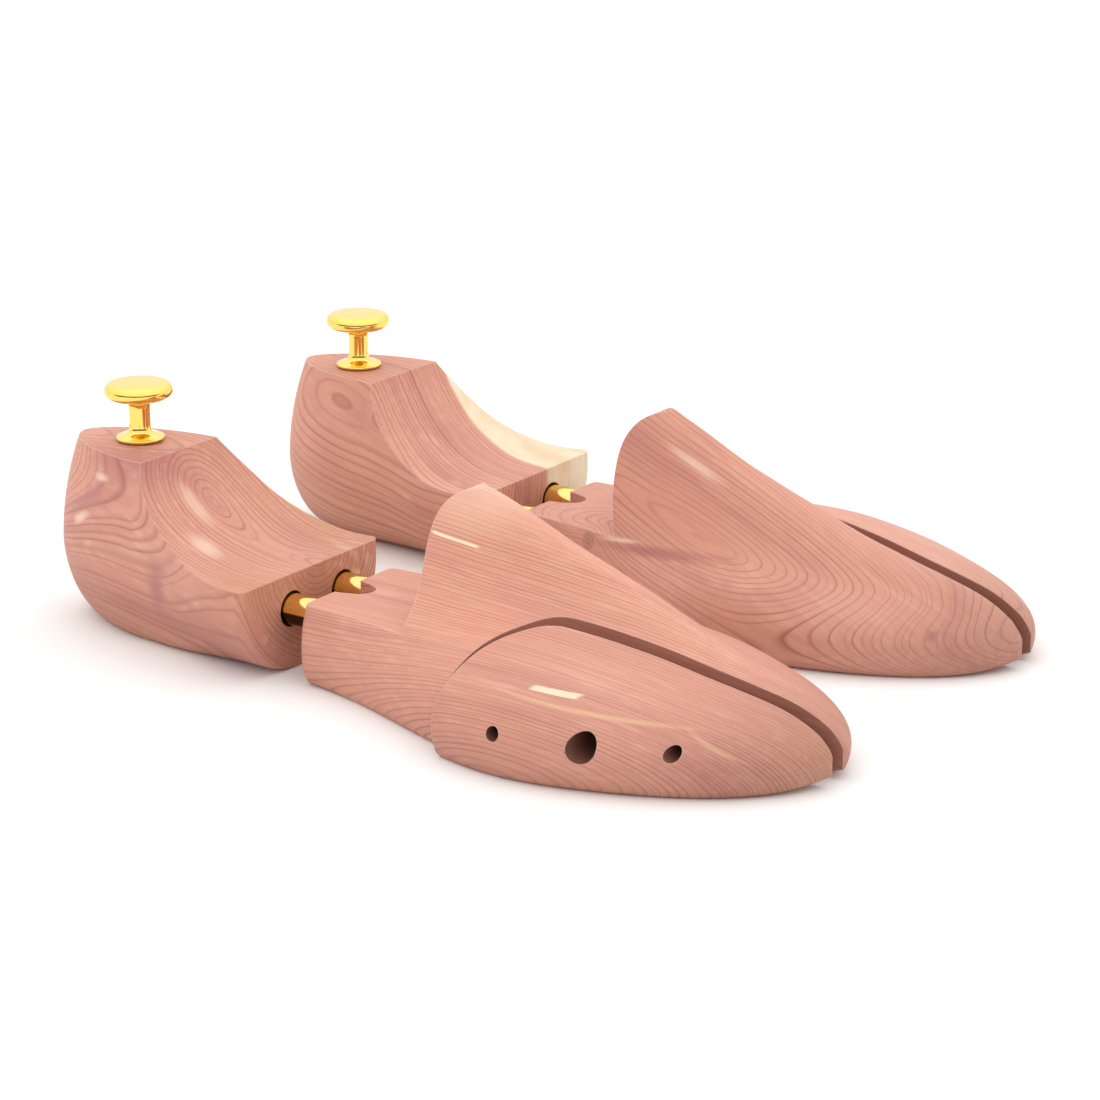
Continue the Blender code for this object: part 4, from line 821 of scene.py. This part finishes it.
def polished_metal(name, color, roughness, turn_marks, haze, painted_reflection=0.0):
    """Metal polished on a wheel: a clear reflection, hair-fine turning marks and a little uneven haze.
    The last argument sets how dark the lower flank is painted, a painted reflection of dark surroundings."""
    made = bpy.data.materials.new(name)
    made.use_nodes = True
    tree = made.node_tree
    shader = tree.nodes["Principled BSDF"]
    shader.inputs["Metallic"].default_value = 1.0
    here = node_of(tree, "ShaderNodeTexCoord").outputs["Object"]
    cloud = node_of(tree, "ShaderNodeTexNoise", {"Vector": here, "Scale": 220, "Detail": 4.0}).outputs["Fac"]
    tint = node_of(tree, "ShaderNodeMix", {0: cloud, 6: (*color, 1), 7: (*(0.93 * c for c in color), 1)},
                   data_type="RGBA").outputs[2]
    # Painted reflection: the lower flank is darkened to stand for dark surroundings mirrored in it.
    if painted_reflection:
        normal = node_of(tree, "ShaderNodeNewGeometry").outputs["Normal"]
        facing = node_of(tree, "ShaderNodeSeparateXYZ", {"Vector": normal}).outputs["Z"]
        reflection_band = [node_of(tree, "ShaderNodeMapRange", {"Value": facing, "From Min": start, "From Max": end},
                        interpolation_type="SMOOTHSTEP").outputs["Result"]
                for start, end in ((0.12, 0.02), (-0.80, -0.70))]
        share = node_of(tree, "ShaderNodeMath", {0: reflection_band[0], 1: reflection_band[1]}, operation="MULTIPLY").outputs[0]
        share = node_of(tree, "ShaderNodeMath", {0: share, 1: painted_reflection}, operation="MULTIPLY").outputs[0]
        tint = node_of(tree, "ShaderNodeMix", {0: share, 6: tint, 7: (*DARK_REFLECTION_BROWN, 1)},
                       data_type="RGBA").outputs[2]
    tree.links.new(tint, shader.inputs["Base Color"])
    dull = node_of(tree, "ShaderNodeMapRange", {"Value": cloud, "From Min": 0.35, "From Max": 0.75,
                                                "To Min": roughness, "To Max": roughness + haze})
    tree.links.new(dull.outputs["Result"], shader.inputs["Roughness"])
    marks = node_of(tree, "ShaderNodeMapping", {"Vector": here, "Scale": turn_marks}).outputs["Vector"]
    fine = node_of(tree, "ShaderNodeTexNoise", {"Vector": marks, "Scale": 1.0, "Detail": 2.0}).outputs["Fac"]
    bump = node_of(tree, "ShaderNodeBump", {"Height": fine, "Strength": 0.12, "Distance": 0.00002})
    tree.links.new(bump.outputs["Normal"], shader.inputs["Normal"])
    return made


# The tubes' lower flanks carry a painted dark reflection.
tube_brass = polished_metal("tube_brass", (0.96, 0.72, 0.24), 0.07, (90, 2200, 2200), 0.08, painted_reflection=0.95)
tube_shape = turned_mesh("tube_shape", rounded([
    (LIP_HOLE, 0.0), (TUBE_RADIUS - TUBE_WALL, 0.0), (TUBE_RADIUS, TUBE_WALL), (TUBE_RADIUS, TUBE_LENGTH),
    (TUBE_RADIUS - TUBE_WALL, TUBE_LENGTH), (TUBE_RADIUS - TUBE_WALL, LIP_THICKNESS),
    (LIP_HOLE, LIP_THICKNESS)], 0.0005), 96)
for label in TREE_Y:
    for where, y in zip(("outer", "inner"), TUBE_Y):
        add_piece(f"{label}_{where}_brass_tube", tube_shape,
                  tree_place(label) @ Matrix.Translation((TUBE_BACK, y, TUBE_HEIGHT)) @ ALONG_X, tube_brass,
                  "toe_blocks", f"{label}_{where}_tube")


# Springs
# Open coils of bright spring wire with their end turns laid close. Two push the heel back from
# inside its bores, and a smaller one on the stop screw spreads the side block.

SPRING_ROOM = 0.022

spring_steel = polished_metal("spring_steel", (0.62, 0.62, 0.63), 0.22, (900, 900, 900), 0.15)

winding = bpy.data.node_groups.new("winding", "GeometryNodeTree")
winding.interface.new_socket("Geometry", in_out="INPUT", socket_type="NodeSocketGeometry")
winding.interface.new_socket("Geometry", in_out="OUTPUT", socket_type="NodeSocketGeometry")
spring_inputs = {}
for title, kind in (("Turns", "NodeSocketFloat"), ("Coil radius", "NodeSocketFloat"),
                    ("Wire radius", "NodeSocketFloat"), ("Length", "NodeSocketFloat"),
                    ("Start", "NodeSocketVector"), ("Turn", "NodeSocketRotation")):
    spring_inputs[title] = winding.interface.new_socket(title, in_out="INPUT", socket_type=kind).identifier
given = winding.nodes.new("NodeGroupInput").outputs


def wound(kind, inputs=None, **settings):
    return node_of(winding, kind, inputs, **settings)


def reckon(operation, a, b=0.0, c=0.0):
    return wound("ShaderNodeMath", {0: a, 1: b, 2: c}, operation=operation).outputs[0]


wire_line = wound("GeometryNodeCurvePrimitiveLine", {"End": (0, 0, 1)})
wire_points = wound("GeometryNodeResampleCurve", {"Curve": wire_line.outputs[0], "Count": 400}, mode="COUNT")
share = wound("GeometryNodeSplineParameter").outputs["Factor"]
angle = reckon("MULTIPLY", reckon("MULTIPLY", share, given["Turns"]), 2 * math.pi)
rise = wound("ShaderNodeMapRange", {"Value": share, "From Min": 0.06, "From Max": 0.94}).outputs["Result"]
eased_rise = reckon("ADD", reckon("MULTIPLY", rise, 0.86), reckon("MULTIPLY", share, 0.14))
free_length = reckon("SUBTRACT", given["Length"], reckon("MULTIPLY", given["Wire radius"], 2.0))
level = reckon("ADD", reckon("MULTIPLY", eased_rise, free_length), given["Wire radius"])
helix = wound("ShaderNodeCombineXYZ", {"X": reckon("MULTIPLY", reckon("COSINE", angle), given["Coil radius"]),
                                       "Y": reckon("MULTIPLY", reckon("SINE", angle), given["Coil radius"]),
                                       "Z": level}).outputs[0]
bent = wound("GeometryNodeSetPosition", {"Geometry": wire_points.outputs[0], "Position": helix})
wire_round = wound("GeometryNodeCurvePrimitiveCircle", {"Resolution": 12, "Radius": given["Wire radius"]})
wire_body = wound("GeometryNodeCurveToMesh", {"Curve": bent.outputs[0], "Fill Caps": True,
                                              "Profile Curve": wire_round.outputs[0]})
laid = wound("GeometryNodeTransform", {"Geometry": wire_body.outputs[0], "Translation": given["Start"],
                                       "Rotation": given["Turn"]})
smooth = wound("GeometryNodeSetShadeSmooth", {"Geometry": laid.outputs[0]})
whole = wound("GeometryNodeRealizeInstances", {"Geometry": smooth.outputs[0]})
bright = wound("GeometryNodeSetMaterial", {"Geometry": whole.outputs[0], "Material": spring_steel})
wound("NodeGroupOutput", {"Geometry": bright.outputs[0]})


def spring_mesh(name, values):
    """A plain mesh of a spring, with its sizes set before the node tree is first evaluated."""
    carrier = bpy.data.objects.new(name, bpy.data.meshes.new(name))
    bpy.context.scene.collection.objects.link(carrier)
    winder = carrier.modifiers.new("wind", "NODES")
    winder.node_group = winding
    for title, value in values.items():
        winder[spring_inputs[title]] = value
    bpy.context.view_layer.update()
    mesh = bpy.data.meshes.new_from_object(carrier.evaluated_get(bpy.context.evaluated_depsgraph_get()))
    bpy.data.objects.remove(carrier)
    return mesh


main_length = SPRING_ROOM - 2 * FIT_GAP
start_x = TUBE_BACK - SPRING_ROOM + FIT_GAP
side_length = 2 * POCKET_DEPTH + SAW_KERF + SIDE_SPREAD - 2 * FIT_GAP
seat_y = split_y(STOP_SCREW_X) + POCKET_DEPTH - FIT_GAP
for label in TREE_Y:
    for where, y in zip(("outer", "inner"), TUBE_Y):
        main = spring_mesh("main_spring", {
            "Turns": 8.0, "Coil radius": 0.0037, "Wire radius": 0.0007, "Length": main_length,
            "Start": (start_x, y, TUBE_HEIGHT), "Turn": (0, math.pi / 2, 0)})
        piece = add_piece(f"{label}_{where}_heel_spring", main, tree_place(label), None, f"{label}_heel",
                          f"{label}_{where}_main_spring")
        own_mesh(piece)
    spread = spring_mesh("spread_spring", {
        "Turns": 5.0, "Coil radius": 0.0036, "Wire radius": 0.0006, "Length": side_length,
        "Start": (STOP_SCREW_X, seat_y, GUIDE_HEIGHT), "Turn": (math.pi / 2, 0, 0)})
    piece = add_piece(f"{label}_spreading_spring", spread, tree_place(label), None, "toe_blocks",
                      f"{label}_side_spring")
    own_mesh(piece)


# Rods, pins, screws and studs
# Plain bright steel, turned and cut to length. All but their ends are out of sight in the wood,
# and they keep the shape that they have in the frame.

rod_steel = polished_metal("rod_steel", (0.60, 0.60, 0.61), 0.28, (1200, 1200, 1200), 0.18)
for label in TREE_Y:
    for kind in ("outer_draw_rod", "inner_draw_rod", "outer_tube_pin", "inner_tube_pin", "rear_guide_pin",
                 "front_guide_pin", "stop_screw", "pull_stud"):
        steel_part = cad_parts[f"{label}_{kind}"]
        for slot_in in steel_part.material_slots:
            slot_in.material = rod_steel


# Pulls
# Brass turned on a lathe and polished to a mirror: a flared foot on the heel's top, a slim stem
# that opens again under the head, and a round-edged disc to hook two fingers under.

PULL_HEIGHT, PULL_RADIUS = 0.0187, 0.0107
RIM_RADIUS, CROWN = 0.0024, 0.0003
STEM_RADIUS = 0.0033
FOOT_RADIUS, FOOT_EDGE = 0.0070, 0.0006
STUD_HOLE_TOP = 0.0093

rim_z = PULL_HEIGHT - CROWN - RIM_RADIUS
rim_middle = PULL_RADIUS - RIM_RADIUS
under = rim_z - RIM_RADIUS
half_turn = np.linspace(-math.pi / 2, math.pi / 2, 17)
foot_edge_z = FIT_GAP + FOOT_EDGE
pull_profile = [(0, STUD_HOLE_TOP), (STUD_HOLE_RADIUS, STUD_HOLE_TOP), (STUD_HOLE_RADIUS, FIT_GAP),
                (FOOT_RADIUS, FIT_GAP)]
pull_profile += [(FOOT_RADIUS + FOOT_EDGE * math.cos(a), foot_edge_z + FOOT_EDGE * math.sin(a))
                 for a in half_turn[2::2]]
pull_profile += bezier([(FOOT_RADIUS, foot_edge_z + FOOT_EDGE), (0.0050, 0.0019),
                        (STEM_RADIUS, 0.0022), (STEM_RADIUS, 0.0048)], 14).tolist()[1:]
pull_profile += bezier([(STEM_RADIUS, under - 0.0034), (STEM_RADIUS, under - 0.0012),
                        (0.0046, under - 0.0002), (0.0068, under)], 12).tolist()
pull_profile += [(rim_middle + RIM_RADIUS * math.cos(a), rim_z + RIM_RADIUS * math.sin(a))
                 for a in half_turn]
pull_profile += [(r, PULL_HEIGHT - CROWN * (r / rim_middle) ** 2)
                 for r in (0.007, 0.0055, 0.004, 0.0025, 0.0012)]
pull_profile.append((0, PULL_HEIGHT))
pull_shape = turned_mesh("pull_shape", pull_profile, 128)
pull_brass = polished_metal("pull_brass", (0.97, 0.71, 0.18), 0.05, (900, 900, 3200), 0.06)
pull_place = Matrix.Translation((PULL_FROM_BACK, PULL_TO_INNER, HEEL_HEIGHT))
for label in TREE_Y:
    add_piece(f"{label}_brass_pull", pull_shape, tree_place(label) @ pull_place, pull_brass,
              f"{label}_heel", f"{label}_pull")


# A last update of the scene

bpy.context.view_layer.update()
